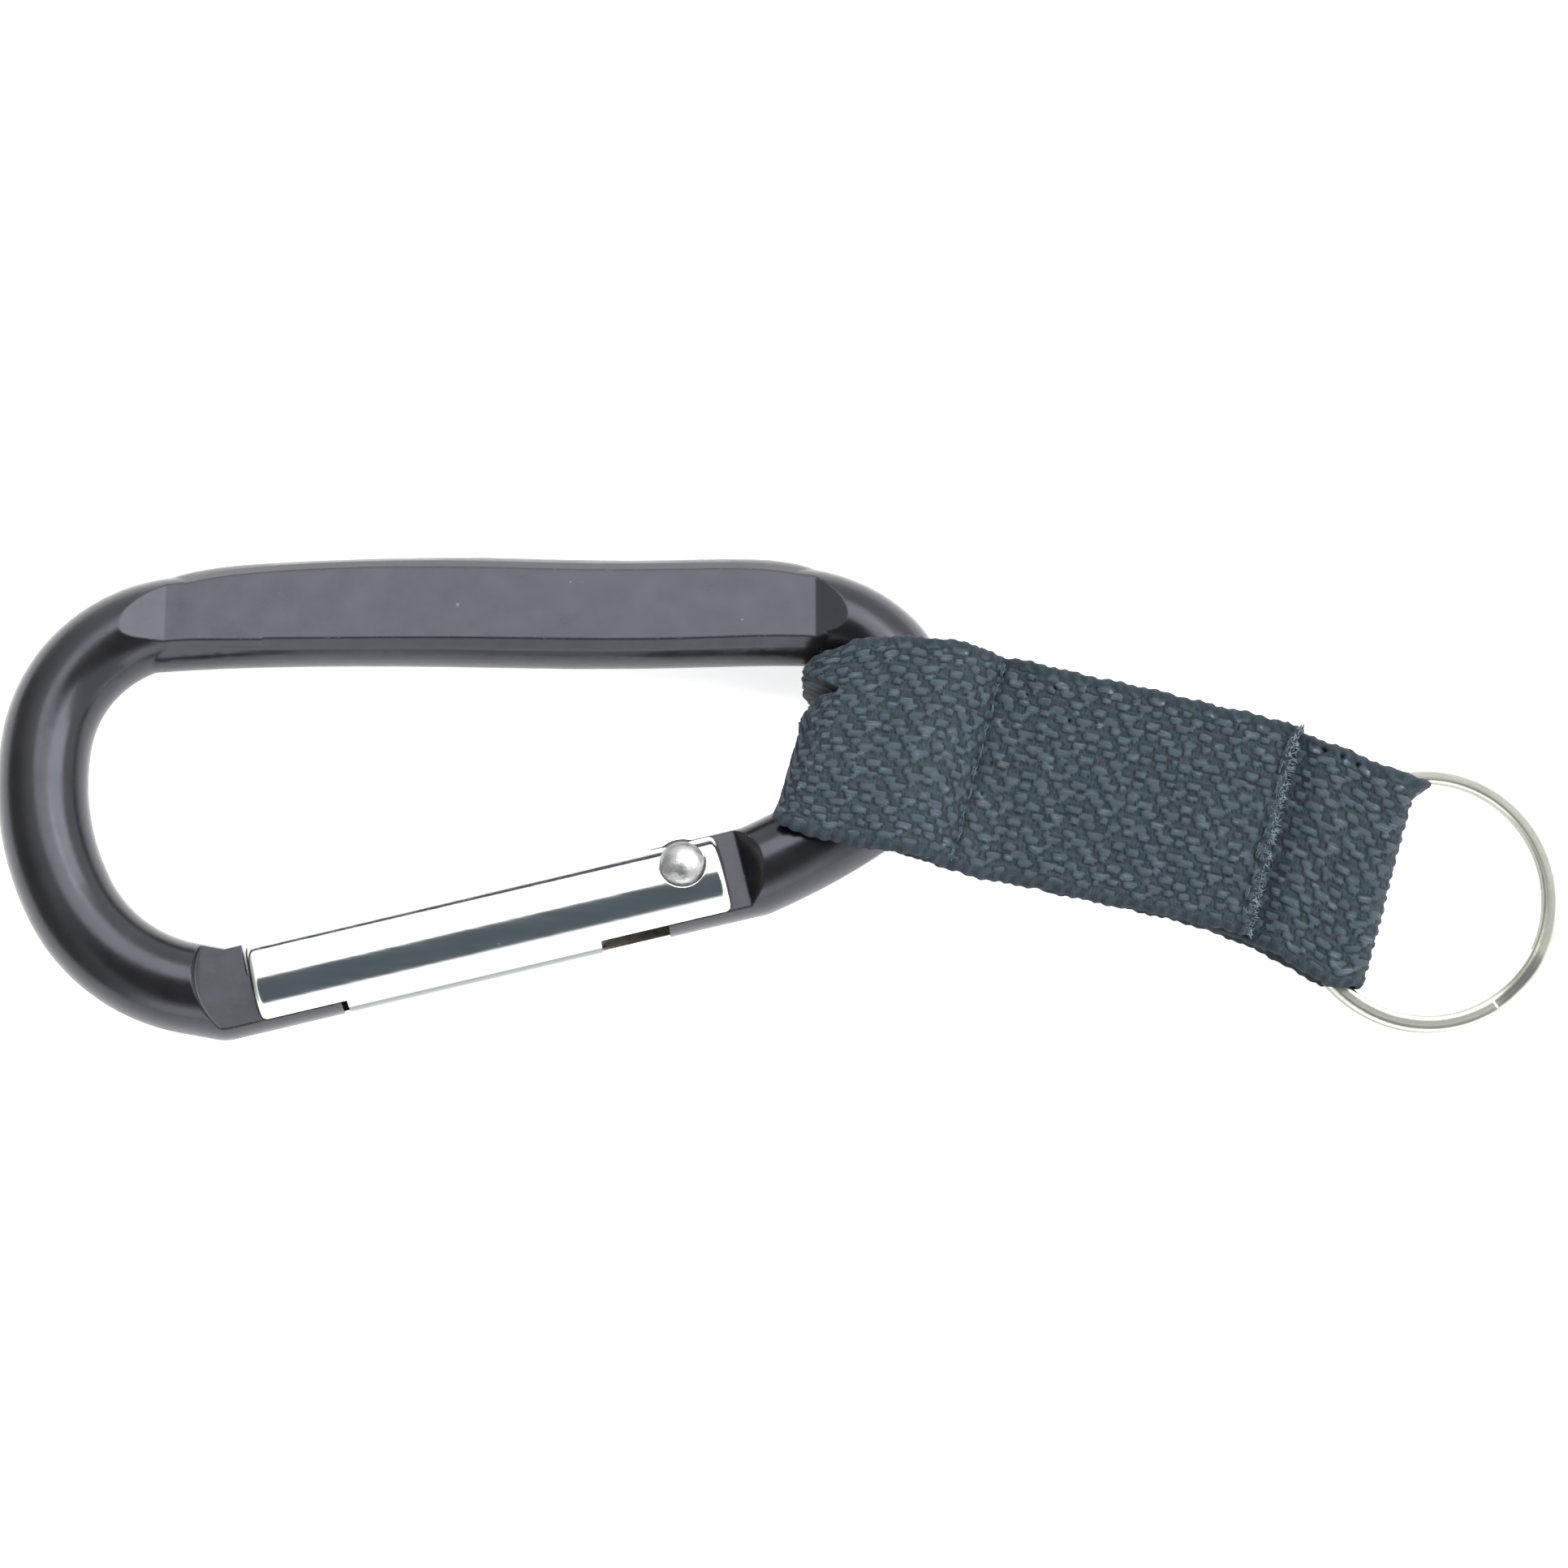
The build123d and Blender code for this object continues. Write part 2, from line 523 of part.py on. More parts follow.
def stitch_row(plane, at, middle):
    """A lock-stitch row across the strap: a thread on each face, and one through each needle hole."""
    half = STITCH_PITCH * STITCHES / 2
    with BuildPart() as row:
        for face in (1, -1):
            start = plane.from_local_coords(Vector(at, middle - half - THREAD_R, face * LAYERS_HALF))
            with BuildSketch(Plane(start, x_dir=plane.x_dir, z_dir=plane.y_dir)):
                Circle(THREAD_R)
            extrude(amount=2 * half + 2 * THREAD_R)
        with BuildSketch(plane.offset(-LAYERS_HALF)):
            for number in range(STITCHES + 1):
                with Locations((at, middle - half + number * STITCH_PITCH)):
                    Circle(THREAD_R * 0.9)
        extrude(amount=2 * LAYERS_HALF)
    return row.part


with BuildPart() as row_loop:
    add(stitch_row(lap, ROW_LOOP_S, 0.9))
row_loop.part.label = "stitch_row_loop"
export_step(row_loop.part, "parts/stitch_row_loop.step")

with BuildPart() as row_ring:
    add(stitch_row(sewn, ROW_RING_S, 1.6))
row_ring.part.label = "stitch_row_ring"
export_step(row_ring.part, "parts/stitch_row_ring.step")

# ---- split ring: two turns of flat wire, with the climb from one to the other ----
ring_at = sewn.from_local_coords(Vector(RING_S, RING_V, 0))
ring = Plane(ring_at, x_dir=sewn.x_dir, z_dir=sewn.z_dir)
coil_mid = (WIRE_HEIGHT + COIL_GAP) / 2


def wire_section(angle, height):
    """Section of the ring's wire at an angle from the strap's direction."""
    way = ring.x_dir * cos(radians(angle)) + ring.y_dir * sin(radians(angle))
    middle = ring_at + way * (RING_OUT_R - WIRE_RADIAL / 2) + ring.z_dir * height
    with BuildSketch(Plane(middle, x_dir=way, z_dir=ring.z_dir.cross(way))) as section:
        RectangleRounded(WIRE_RADIAL, WIRE_HEIGHT, WIRE_ROUND)
    return section.sketch


with BuildPart() as split_ring:
    for height in (-coil_mid, coil_mid):
        add(wire_section(JOG_AT + JOG_HALF, height))
        revolve(axis=Axis(ring_at, ring.z_dir), revolution_arc=360 - 2 * JOG_HALF)
    steps = 8
    climb_sections = []
    for step in range(steps + 1):
        share = step / steps
        lift = -coil_mid * cos(radians(180 * share))
        climb_sections.append(wire_section(JOG_AT + JOG_HALF * (2 * share - 1), lift))
    add(loft(climb_sections))
split_ring.part.label = "split_ring"
export_step(split_ring.part, "parts/split_ring.step")
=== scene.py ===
"""Looks of the carabiner keyring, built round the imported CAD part.

Metres in Blender; lengths below are in millimetres and turned into metres by MM.
Two side views are used for the strap. In the loop's, U runs along the strap from the hook's bar and W goes
up. In the sewn part's, S runs along the strap from the end of the loop, V across it and W off its face.
"""

import bpy
import json
import math
import numpy as np
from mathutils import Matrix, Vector


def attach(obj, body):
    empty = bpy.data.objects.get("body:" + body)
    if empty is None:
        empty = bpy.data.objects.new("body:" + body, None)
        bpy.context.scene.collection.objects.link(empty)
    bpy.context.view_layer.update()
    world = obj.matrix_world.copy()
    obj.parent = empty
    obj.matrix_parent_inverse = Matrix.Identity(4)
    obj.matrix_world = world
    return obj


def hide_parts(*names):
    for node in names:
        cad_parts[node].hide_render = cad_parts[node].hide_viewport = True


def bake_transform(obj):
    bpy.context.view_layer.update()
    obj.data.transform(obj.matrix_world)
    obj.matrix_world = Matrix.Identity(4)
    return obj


MM = 0.001

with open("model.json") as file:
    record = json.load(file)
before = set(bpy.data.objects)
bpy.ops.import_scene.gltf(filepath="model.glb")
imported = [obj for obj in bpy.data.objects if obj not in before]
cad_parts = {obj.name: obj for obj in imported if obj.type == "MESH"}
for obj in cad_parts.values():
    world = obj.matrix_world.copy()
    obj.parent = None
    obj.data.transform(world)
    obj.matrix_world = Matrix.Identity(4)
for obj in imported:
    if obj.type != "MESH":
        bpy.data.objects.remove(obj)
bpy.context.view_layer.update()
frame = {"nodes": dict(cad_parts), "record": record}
nodes = frame["nodes"]
scene = bpy.context.scene


# ---------------------------------------------------------------- places, from the frame
def joint(name):
    return next(j for j in frame["record"]["behaviour"]["joints"] if j["name"] == name)


def unit(v):
    v = np.array(v, float)
    return v / np.linalg.norm(v)


UP = np.array([0.0, 0.0, 1.0])
rivet_at = np.array(joint("gate_hinge")["pos_m"])
gate_dir = -unit(joint("plunger_slide")["axis"])                  # from the gate's free end to the rivet
gate_in = np.cross(UP, gate_dir)                                  # from the gate towards the spine
bend_at = np.array(joint("strap_bend")["pos_m"])
ring_at = np.array(joint("ring_spin")["pos_m"])
across = unit(joint("strap_bend")["axis"])                        # V of the sewn part
face_up = unit(joint("ring_spin")["axis"])                        # W of the sewn part
along = np.cross(across, face_up)                                 # S of the sewn part
level_along = unit(along * (1, 1, 0))                             # U of the loop
level_across = np.cross(UP, level_along)
lap_up = np.cross(along, level_across)
SIN_T, COS_T = -along[2], float(along @ level_along)
ROLL = math.asin(float(across @ lap_up))
BEND_S, SEW_U = 5.0, 4.0                                          # the bend's S, and the U where S starts
sewn_at = bend_at - BEND_S * MM * along
mid_z = rivet_at[2]


# ---------------------------------------------------------------- small helpers
THREAD_END = 0.35                     # a thread's thickness at its ends, as a part of the rest


def smoothstep(x):
    x = np.clip(x, 0, 1)
    return x * x * (3 - 2 * x)


def noise_of(*keys):
    """Repeatable value between -1 and 1 for whole-number keys."""
    total = sum(np.asarray(k, float) * f for k, f in zip(keys, (12.9898, 78.233, 37.719, 4.581)))
    value = np.sin(total) * 43758.5453
    return 2 * (value - np.floor(value)) - 1


def make_object(name, verts, faces, mat, smooth=True):
    mesh = bpy.data.meshes.new(name)
    mesh.from_pydata(np.asarray(verts).tolist(), [], faces)
    if smooth:
        mesh.polygons.foreach_set("use_smooth", [True] * len(mesh.polygons))
    mesh.materials.append(mat)
    obj = bpy.data.objects.new(name, mesh)
    scene.collection.objects.link(obj)
    return obj


def tubes(name, paths, radii, mat, sides):
    """Threads along paths (arrays of points in metres), each with its own radius in mm and thin ends."""
    verts, faces = [], []
    for path, radius in zip(paths, radii):
        path = np.asarray(path, float)
        count = len(path)
        run = np.gradient(path, axis=0)
        run /= np.linalg.norm(run, axis=1)[:, None]
        side = np.cross(run, UP + 0.01)
        side /= np.linalg.norm(side, axis=1)[:, None]
        other = np.cross(run, side)
        thick = np.full(count, radius * MM)
        thick[[0, -1]] *= THREAD_END
        base = len(verts)
        for k in range(count):
            for m in range(sides):
                a = 2 * math.pi * m / sides
                verts.append(path[k] + (side[k] * math.cos(a) + other[k] * math.sin(a)) * thick[k])
        for k in range(count - 1):
            for m in range(sides):
                n = (m + 1) % sides
                a, b = base + k * sides, base + (k + 1) * sides
                faces.append((a + m, a + n, b + n, b + m))
        faces.append(tuple(base + m for m in reversed(range(sides))))
        faces.append(tuple(base + (count - 1) * sides + m for m in range(sides)))
    return make_object(name, verts, faces, mat)


# ---------------------------------------------------------------- materials
class Mat:
    """A Principled material with short names for the nodes used here."""

    def __init__(self, name):
        self.mat = bpy.data.materials.new(name)
        self.mat.use_nodes = True
        self.tree = self.mat.node_tree
        self.shader = self.tree.nodes["Principled BSDF"]

    def put(self, **values):
        for key, value in values.items():
            self.shader.inputs[key.replace("_", " ")].default_value = value
        return self

    def node(self, kind, **settings):
        made = self.tree.nodes.new("ShaderNode" + kind)
        for key, value in settings.items():
            if hasattr(made, key):
                setattr(made, key, value)
            else:
                made.inputs[key.replace("_", " ")].default_value = value
        return made

    def link(self, out, to):
        self.tree.links.new(out, to)

    def coords(self, scale=(1, 1, 1), rotation=(0, 0, 0), uv=None):
        if uv:
            where = self.node("UVMap", uv_map=uv).outputs[0]
        else:
            where = self.node("TexCoord").outputs["Object"]
        mapping = self.node("Mapping")
        mapping.inputs["Scale"].default_value = scale
        mapping.inputs["Rotation"].default_value = rotation
        self.link(where, mapping.inputs["Vector"])
        return mapping.outputs[0]

    def noise(self, where, scale, detail, rough=0.55):
        made = self.node("TexNoise", Scale=scale, Detail=detail, Roughness=rough)
        self.link(where, made.inputs["Vector"])
        return made.outputs["Fac"]

    def ramp(self, fac, stops):
        made = self.node("ValToRGB")
        ramp = made.color_ramp
        while len(ramp.elements) < len(stops):
            ramp.elements.new(0.5)
        for element, (at, value) in zip(ramp.elements, stops):
            element.position = at
            element.color = (*value, 1) if hasattr(value, "__len__") else (value, value, value, 1)
        self.link(fac, made.inputs[0])
        return made.outputs[0]

    def math(self, kind, a, b):
        made = self.node("Math", operation=kind)
        for slot, value in enumerate((a, b)):
            if isinstance(value, (int, float)):
                made.inputs[slot].default_value = value
            else:
                self.link(value, made.inputs[slot])
        return made.outputs[0]

    def mix(self, fac, a, b, blend="MIX"):
        made = self.node("Mix", data_type="RGBA", blend_type=blend)
        for slot, value in ((0, fac), (6, a), (7, b)):
            if hasattr(value, "is_linked"):
                self.link(value, made.inputs[slot])
            else:
                made.inputs[slot].default_value = (*value, 1) if hasattr(value, "__len__") else value
        return made.outputs[2]

    def colour(self, value):
        self.link(value, self.shader.inputs["Base Color"])

    def rough(self, value):
        self.link(value, self.shader.inputs["Roughness"])

    def bump(self, height, distance, strength, normal=None):
        made = self.node("Bump", Strength=strength, Distance=distance * MM)
        self.link(height, made.inputs["Height"])
        if normal is not None:
            self.link(normal, made.inputs["Normal"])
        self.link(made.outputs[0], self.shader.inputs["Normal"])

    def soft_edges(self, radius):
        return self.node("Bevel", samples=6, Radius=radius * MM).outputs[0]

    def edge_mask(self, rounded):
        """0 on a plain face, rising towards sharp edges."""
        plain = self.node("NewGeometry").outputs["Normal"]
        dot = self.node("VectorMath", operation="DOT_PRODUCT")
        self.link(rounded, dot.inputs[0])
        self.link(plain, dot.inputs[1])
        return self.math("SUBTRACT", 1.0, dot.outputs["Value"])

    def depth(self, centre, axis):
        """Distance in mm from the line through centre along axis."""
        place = self.node("TexCoord").outputs["Object"]
        less = self.node("VectorMath", operation="SUBTRACT")
        less.inputs[1].default_value = centre
        self.link(place, less.inputs[0])
        cross = self.node("VectorMath", operation="CROSS_PRODUCT")
        cross.inputs[1].default_value = axis
        self.link(less.outputs[0], cross.inputs[0])
        far = self.node("VectorMath", operation="LENGTH")
        self.link(cross.outputs[0], far.inputs[0])
        return self.math("MULTIPLY", far.outputs["Value"], 1 / MM)

    def facing(self, way):
        """1 where a face looks along way, 0 where it is side on to it, below 0 where it looks back."""
        dot = self.node("VectorMath", operation="DOT_PRODUCT")
        self.link(self.node("NewGeometry").outputs["Normal"], dot.inputs[0])
        dot.inputs[1].default_value = way
        return dot.outputs["Value"]


def anodised():
    """Black and glossy, bare along its edges in places and in a few specks."""
    m = Mat("black_anodised").put(Metallic=0.0, IOR=1.47, Specular_Tint=(0.93, 0.96, 1.09, 1))
    where = m.coords()
    base = m.ramp(m.noise(where, 160, 3), [(0.3, (0.006, 0.006, 0.007)), (0.7, (0.012, 0.011, 0.013))])
    rounded = m.soft_edges(0.28)
    worn = m.math("MULTIPLY", m.ramp(m.edge_mask(rounded), [(0.02, 0.0), (0.12, 1.0)]),
                  m.ramp(m.noise(where, 900, 5, 0.7), [(0.56, 0.0), (0.70, 1.0)]))
    speck = m.ramp(m.noise(where, 1500, 1), [(0.80, 0.0), (0.83, 1.0)])
    bare = m.math("MAXIMUM", worn, m.math("MULTIPLY", speck, 0.5))
    m.colour(m.mix(bare, base, (0.16, 0.16, 0.165)))
    m.rough(m.ramp(m.noise(where, 420, 5, 0.65), [(0.25, 0.16), (0.75, 0.30)]))
    m.bump(m.noise(where, 2600, 2), 0.006, 0.5, rounded)
    return m.mat


GATE_AXIS_OFF = 1.16                  # the gate's centre line lies this far outside the rivet
SKIN_R, SKIN_SOFT = 3.55, 0.06        # nearer to that line than this, a face is in a slot or a hole
RAMP_REACH = 5.0                      # a ramp goes from 0 to 1, which stands for this many mm


def aluminium():
    """Polished along the gate, with painted shade in its slots and holes and a painted dark reflection along
    its near flank.
    """
    m = Mat("polished_aluminium").put(Metallic=1.0)
    turn = math.atan2(gate_dir[1], gate_dir[0])
    lines = m.noise(m.coords(scale=(90, 2600, 2600), rotation=(0, 0, -turn)), 1.0, 4, 0.6)
    aslant = m.coords(scale=(260, 1900, 1900), rotation=(0.2, 0.1, -turn + 0.5))
    scratch = m.ramp(m.noise(aslant, 1.0, 3), [(0.70, 0.0), (0.76, 1.0)])
    where = m.coords()
    bright = m.ramp(m.noise(where, 240, 4), [(0.3, (0.86, 0.875, 0.885)), (0.7, (0.93, 0.94, 0.945))])
    finish = m.ramp(lines, [(0.2, 0.07), (0.8, 0.17)])
    depth = m.depth(rivet_at - GATE_AXIS_OFF * MM * gate_in, gate_dir)
    inside = m.ramp(m.math("MULTIPLY", depth, 1 / RAMP_REACH),
                    [((SKIN_R - SKIN_SOFT) / RAMP_REACH, 1.0), ((SKIN_R + SKIN_SOFT) / RAMP_REACH, 0.0)])
    # painted shade: faces in the slots and holes are given a dark brownish grey
    painted_slot_shade = m.ramp(m.noise(where, 700, 5, 0.7), [(0.3, (0.13, 0.110, 0.088)), (0.7, (0.36, 0.33, 0.29))])
    bright = m.mix(inside, bright, painted_slot_shade)
    finish = m.math("MAXIMUM", finish, m.math("MULTIPLY", inside, 0.42))
    # painted reflection: a dark line along the gate's near flank stands for the shade under the gate, which
    # this studio doesn't reflect in it
    painted_dark_flank = m.ramp(m.facing(-gate_in), [(0.945, 0.0), (0.97, 1.0)])
    m.colour(m.mix(painted_dark_flank, bright, (0.15, 0.165, 0.17)))
    m.rough(m.math("MAXIMUM", finish, m.math("MULTIPLY", scratch, 0.3)))
    m.bump(m.math("ADD", lines, m.math("MULTIPLY", scratch, -0.8)), 0.004, 0.6, m.soft_edges(0.12))
    return m.mat


def rivet_metal():
    m = Mat("rivet_metal").put(Metallic=1.0)
    where = m.coords()
    m.colour(m.ramp(m.noise(where, 500, 4), [(0.35, (0.36, 0.36, 0.355)), (0.65, (0.60, 0.60, 0.595))]))
    m.rough(m.ramp(m.noise(where, 900, 4), [(0.3, 0.30), (0.7, 0.52)]))
    m.bump(m.noise(where, 750, 4, 0.7), 0.13, 0.8)
    return m.mat


def steel():
    m = Mat("spring_steel").put(Metallic=1.0)
    where = m.coords()
    m.colour(m.ramp(m.noise(where, 900, 3), [(0.3, (0.42, 0.42, 0.43)), (0.7, (0.58, 0.58, 0.58))]))
    m.rough(m.ramp(m.noise(where, 1500, 3), [(0.3, 0.25), (0.7, 0.4)]))
    return m.mat


def nickel():
    m = Mat("nickel").put(Metallic=1.0)
    where = m.coords()
    plate = m.ramp(m.noise(where, 350, 4), [(0.3, (0.58, 0.58, 0.50)), (0.7, (0.72, 0.71, 0.63))])
    # painted shade: the ring is darkened on its flanks, more than this studio leaves them
    painted_dark_flank = m.ramp(m.facing(face_up), [(0.15, (0.26, 0.265, 0.24)), (0.97, (1.0, 1.0, 1.0))])
    m.colour(m.mix(1.0, plate, painted_dark_flank, "MULTIPLY"))
    # faint circles round the ring's middle
    outward = m.node("CombineXYZ")
    m.link(m.math("MULTIPLY", m.depth(ring_at, face_up), 7.0), outward.inputs[0])
    turned = m.noise(outward.outputs[0], 3.0, 3)
    m.rough(m.ramp(turned, [(0.3, 0.24), (0.7, 0.40)]))
    m.bump(m.math("ADD", turned, m.noise(where, 1300, 3)), 0.004, 0.5, m.soft_edges(0.30))
    return m.mat


# the webbing's colours, from the gaps between its yarns, dark with painted shade, to their loosest fibres
SHADED_GAP, BASE = (0.0065, 0.0100, 0.0125), (0.0205, 0.0295, 0.0365)
BLOCK, LINT = (0.053, 0.070, 0.081), (0.14, 0.18, 0.195)


def webbing():
    m = Mat("webbing").put(Metallic=0.0, Specular_IOR_Level=0.16, Sheen_Weight=0.03, Sheen_Roughness=0.5)
    tone = m.node("Attribute", attribute_name="tone").outputs["Fac"]
    slow = m.noise(m.coords(uv="weave"), 0.35, 3)
    yarns = m.noise(m.coords(scale=(1.2, 9, 1), rotation=(0, 0, 0.12), uv="weave"), 1.0, 4, 0.65)
    cross = m.noise(m.coords(scale=(8, 1.5, 1), rotation=(0, 0, -0.2), uv="weave"), 1.0, 4, 0.65)
    grain = m.noise(m.coords(scale=(9, 9, 1), uv="weave"), 1.0, 5, 0.7)
    streak = m.mix(m.ramp(tone, [(0.42, 0.0), (0.58, 1.0)]), cross, yarns)
    shade = tone
    for pattern, strength in ((streak, 0.70), (grain, 0.40), (slow, 0.22)):
        shade = m.math("ADD", shade, m.math("MULTIPLY", m.math("SUBTRACT", pattern, 0.5), strength))
    body = m.ramp(shade, [(0.02, SHADED_GAP), (0.34, BASE), (0.78, BLOCK), (1.0, LINT)])
    hue = m.ramp(m.noise(m.coords(uv="weave"), 0.9, 2),
                 [(0.35, (0.92, 1.0, 1.02)), (0.65, (1.06, 0.99, 1.0))])
    m.colour(m.mix(1.0, body, hue, "MULTIPLY"))
    m.rough(m.ramp(grain, [(0.3, 0.55), (0.7, 0.85)]))
    m.bump(m.math("ADD", streak, grain), 0.05, 0.55)
    return m.mat


def thread():
    m = Mat("thread").put(Metallic=0.0)
    where = m.coords()
    m.colour(m.ramp(m.noise(where, 2200, 3), [(0.3, (0.020, 0.036, 0.045)), (0.7, (0.062, 0.095, 0.112))]))
    m.rough(m.ramp(m.noise(where, 3000, 2), [(0.3, 0.4), (0.7, 0.65)]))
    m.bump(m.noise(where, 5200, 2), 0.02, 0.5)
    return m.mat


def lint():
    m = Mat("cut_fibres").put(Metallic=0.0)
    where = m.coords()
    m.colour(m.ramp(m.noise(where, 1400, 3), [(0.3, (0.045, 0.062, 0.072)), (0.7, (0.26, 0.32, 0.35))]))
    m.rough(m.ramp(m.noise(where, 2000, 2), [(0.3, 0.4), (0.7, 0.7)]))
    return m.mat


body_mat, gate_mat, rivet_mat = anodised(), aluminium(), rivet_metal()
steel_mat, ring_mat = steel(), nickel()
web_mat, thread_mat, lint_mat = webbing(), thread(), lint()
for node, mat in (("carabiner_body", body_mat), ("gate", gate_mat), ("hinge_rivet", rivet_mat),
                  ("gate_spring", steel_mat), ("spring_plunger", steel_mat), ("split_ring", ring_mat)):
    nodes[node].data.materials.clear()
    nodes[node].data.materials.append(mat)


# ---------------------------------------------------------------- webbing: its path in side view
THICK = 1.1                           # webbing
HALF = THICK / 2
BAR_R, BAR_AIR = 3.75, 0.08           # the hook's bar, and the gap round it
BAR_MID_R = BAR_R + BAR_AIR + HALF    # middle of the webbing round the bar
BACK_U = -10.2 + HALF                 # middle of the fold's wall
FOLD_R = 2.7 - HALF                   # the corners of that fold
LAYER = THICK                         # spacing of the three sewn layers
FACE_W = 1.5 * THICK                  # their outer face
LEAD_S = 1.4                          # where the upper and lower layers part towards the bar
RAW_S = 27.4                          # the cut end
RING_FOLD_S = 37.3 - HALF             # end of the fold round the ring
POCKET_S, POCKET_W = 29.4, 1.05 + HALF                # where the layers part for the ring, and how far
POCKET_R = 1.5 - HALF                 # the corners of that fold
V0, V1 = -8.45, 10.2                  # selvedges
WALL_V0, WALL_V1 = -3.9, 5.4          # the fold's wall is gathered between the hook's two sides
FLAT_W = V1 - V0


def from_loop(u, w):
    """A point of the loop's side view, in the sewn part's."""
    return ((u - SEW_U) * COS_T - w * SIN_T, (u - SEW_U) * SIN_T + w * COS_T)


def to_loop(s, w):
    return (SEW_U + s * COS_T + w * SIN_T, w * COS_T - s * SIN_T)


def arc(cu, cw, radius, start, stop, edges0, edges1, steps=14):
    """Points round a centre in the loop's side view, the selvedges going from edges0 to edges1.

    Angles are in degrees.
    """
    out = []
    for k in range(steps + 1):
        t = k / steps
        a = math.radians(start + (stop - start) * t)
        u, w = cu + radius * math.cos(a), cw + radius * math.sin(a)
        v = [e0 + (e1 - e0) * t for e0, e1 in zip(edges0, edges1)]
        out.append((*from_loop(u, w), *v))
    return out


def flat(u, w, v0, v1):
    return (*from_loop(u, w), v0, v1)


lead = to_loop(LEAD_S, LAYER)
lead_low = to_loop(LEAD_S, -LAYER)
top_angle = math.degrees(math.atan2(lead[1], lead[0]) + math.acos(BAR_MID_R / math.hypot(*lead)))
low_angle = math.degrees(math.atan2(lead_low[1], lead_low[0]) - math.acos(BAR_MID_R / math.hypot(*lead_low)))
fold_u = BACK_U + FOLD_R
fold_w = BAR_MID_R - FOLD_R
pocket_u = RING_FOLD_S - POCKET_R

# from the cut end round the bar and the ring to the hidden end: S, W and the two selvedges' V
route = [
    (RAW_S, LAYER, -7.0, 10.8), (25.5, LAYER, -7.1, 10.85), (22.0, LAYER, -7.2, 10.9),
    (17.0, LAYER, -7.5, 10.75), (9.6, LAYER, -7.85, 10.5), (3.5, LAYER, -8.3, 10.25),
    (LEAD_S, LAYER, -8.6, V1),
    *arc(0, 0, BAR_MID_R, top_angle, 90, (-8.8, 10.1), (-9.3, 9.35)),
    flat(-3.7, BAR_MID_R, -9.65, 8.6), flat(-6.6, BAR_MID_R, -9.7, 7.55), flat(fold_u, BAR_MID_R, -9.6, 7.0),
    *arc(fold_u, fold_w, FOLD_R, 90, 150, (-9.6, 7.0), (-8.75, 5.7), 8),
    *arc(fold_u, fold_w, FOLD_R, 158, 180, (-7.2, 5.5), (WALL_V0, WALL_V1), 3),
    flat(BACK_U, 0.0, WALL_V0, WALL_V1),
    *arc(fold_u, -fold_w, FOLD_R, 180, 202, (WALL_V0, WALL_V1), (-5.2, 5.5), 3),
    *arc(fold_u, -fold_w, FOLD_R, 210, 270, (-5.7, 5.8), (-6.3, 7.0), 8),
    flat(-3.7, -BAR_MID_R, -6.5, 8.6),
    *arc(0, 0, BAR_MID_R, -90, low_angle, (-6.7, 9.4), (-7.4, 10.1)),
    (LEAD_S, -LAYER, -7.5, V1), (3.5, -LAYER, -7.7, V1), (9.6, -LAYER, -7.7, 10.4),
    (17.0, -LAYER, -7.4, 10.65), (22.0, -LAYER, -7.2, 10.75), (26.0, -LAYER, -7.6, 10.7),
    (27.8, -LAYER, -7.9, 10.5),
    (POCKET_S, -POCKET_W, -8.1, 10.2), (34.8, -POCKET_W, -9.5, 9.4),
    (pocket_u, -POCKET_W, -8.9, 9.0), (RING_FOLD_S - 0.3, -POCKET_W + 0.3, -8.9, 9.0),
    (RING_FOLD_S, -POCKET_W + POCKET_R, -8.9, 9.0), (RING_FOLD_S, POCKET_W - POCKET_R, -8.9, 9.0),
    (RING_FOLD_S - 0.3, POCKET_W - 0.3, -8.9, 9.0), (pocket_u, POCKET_W, -8.9, 9.0),
    (34.6, POCKET_W, -9.5, 9.3), (31.0, POCKET_W, -8.5, 10.0), (POCKET_S, POCKET_W, -8.0, 10.2),
    (27.6, 0.25, -7.7, 10.5), (25.9, 0.0, -7.4, 10.5), (22.0, 0.0, -7.2, 10.5), (9.6, 0.0, -7.6, 10.1),
    (2.6, 0.0, -7.6, 9.9),
]
# the fold round the hook is gathered askew: V, and how far its edge is drawn towards the bar there
FOLD_PULL = [(-9.6, -0.1), (-8.9, 0.15), (-7.0, 0.85), (-4.0, 1.05), (-0.9, 1.25), (0.25, 0.9), (2.3, 1.5),
             (2.8, 2.7), (3.05, 2.6), (3.4, 0.5), (3.7, 0.25), (4.8, 0.15), (6.0, 0.6), (7.0, 1.5)]
PULL_FROM_U, PULL_OVER = -6.4, 3.0    # the pull starts here and is full this much further out
CORNER_V, CORNER_S = (7.3, 1.7), (33.5, 3.0)          # the corner at the ring: its start, and over how much
CORNER_OUT = (1.35, 0.3)              # how far that corner is drawn, along S and V
SOFTEN, SOFTEN_REACH = 0.42, 1.6      # spread of the averaging that rounds the route's corners, and its reach


def along_route(points, step):
    """Evenly spaced points of a route, its corners softened."""
    points = np.array(points, float)
    gap = np.hypot(*np.diff(points[:, :2], axis=0).T)
    at = np.concatenate([[0], np.cumsum(gap)])
    even = np.arange(0, at[-1], step)
    dense = np.array([np.interp(even, at, points[:, k]) for k in range(points.shape[1])]).T
    reach = int(SOFTEN_REACH / step)
    kernel = np.exp(-0.5 * (np.arange(-reach, reach + 1) * step / SOFTEN) ** 2)
    kernel /= kernel.sum()
    soft = dense.copy()
    for k in range(points.shape[1]):
        padded = np.concatenate([2 * dense[0, k] - dense[reach:0:-1, k], dense[:, k],
                                 2 * dense[-1, k] - dense[-2:-reach - 2:-1, k]])
        soft[:, k] = np.convolve(padded, kernel, "valid")
    return soft


ROLL_FROM_S, ROLL_OVER = 0.3, 5.4     # the strap turns from the loop's level to the sewn part's here


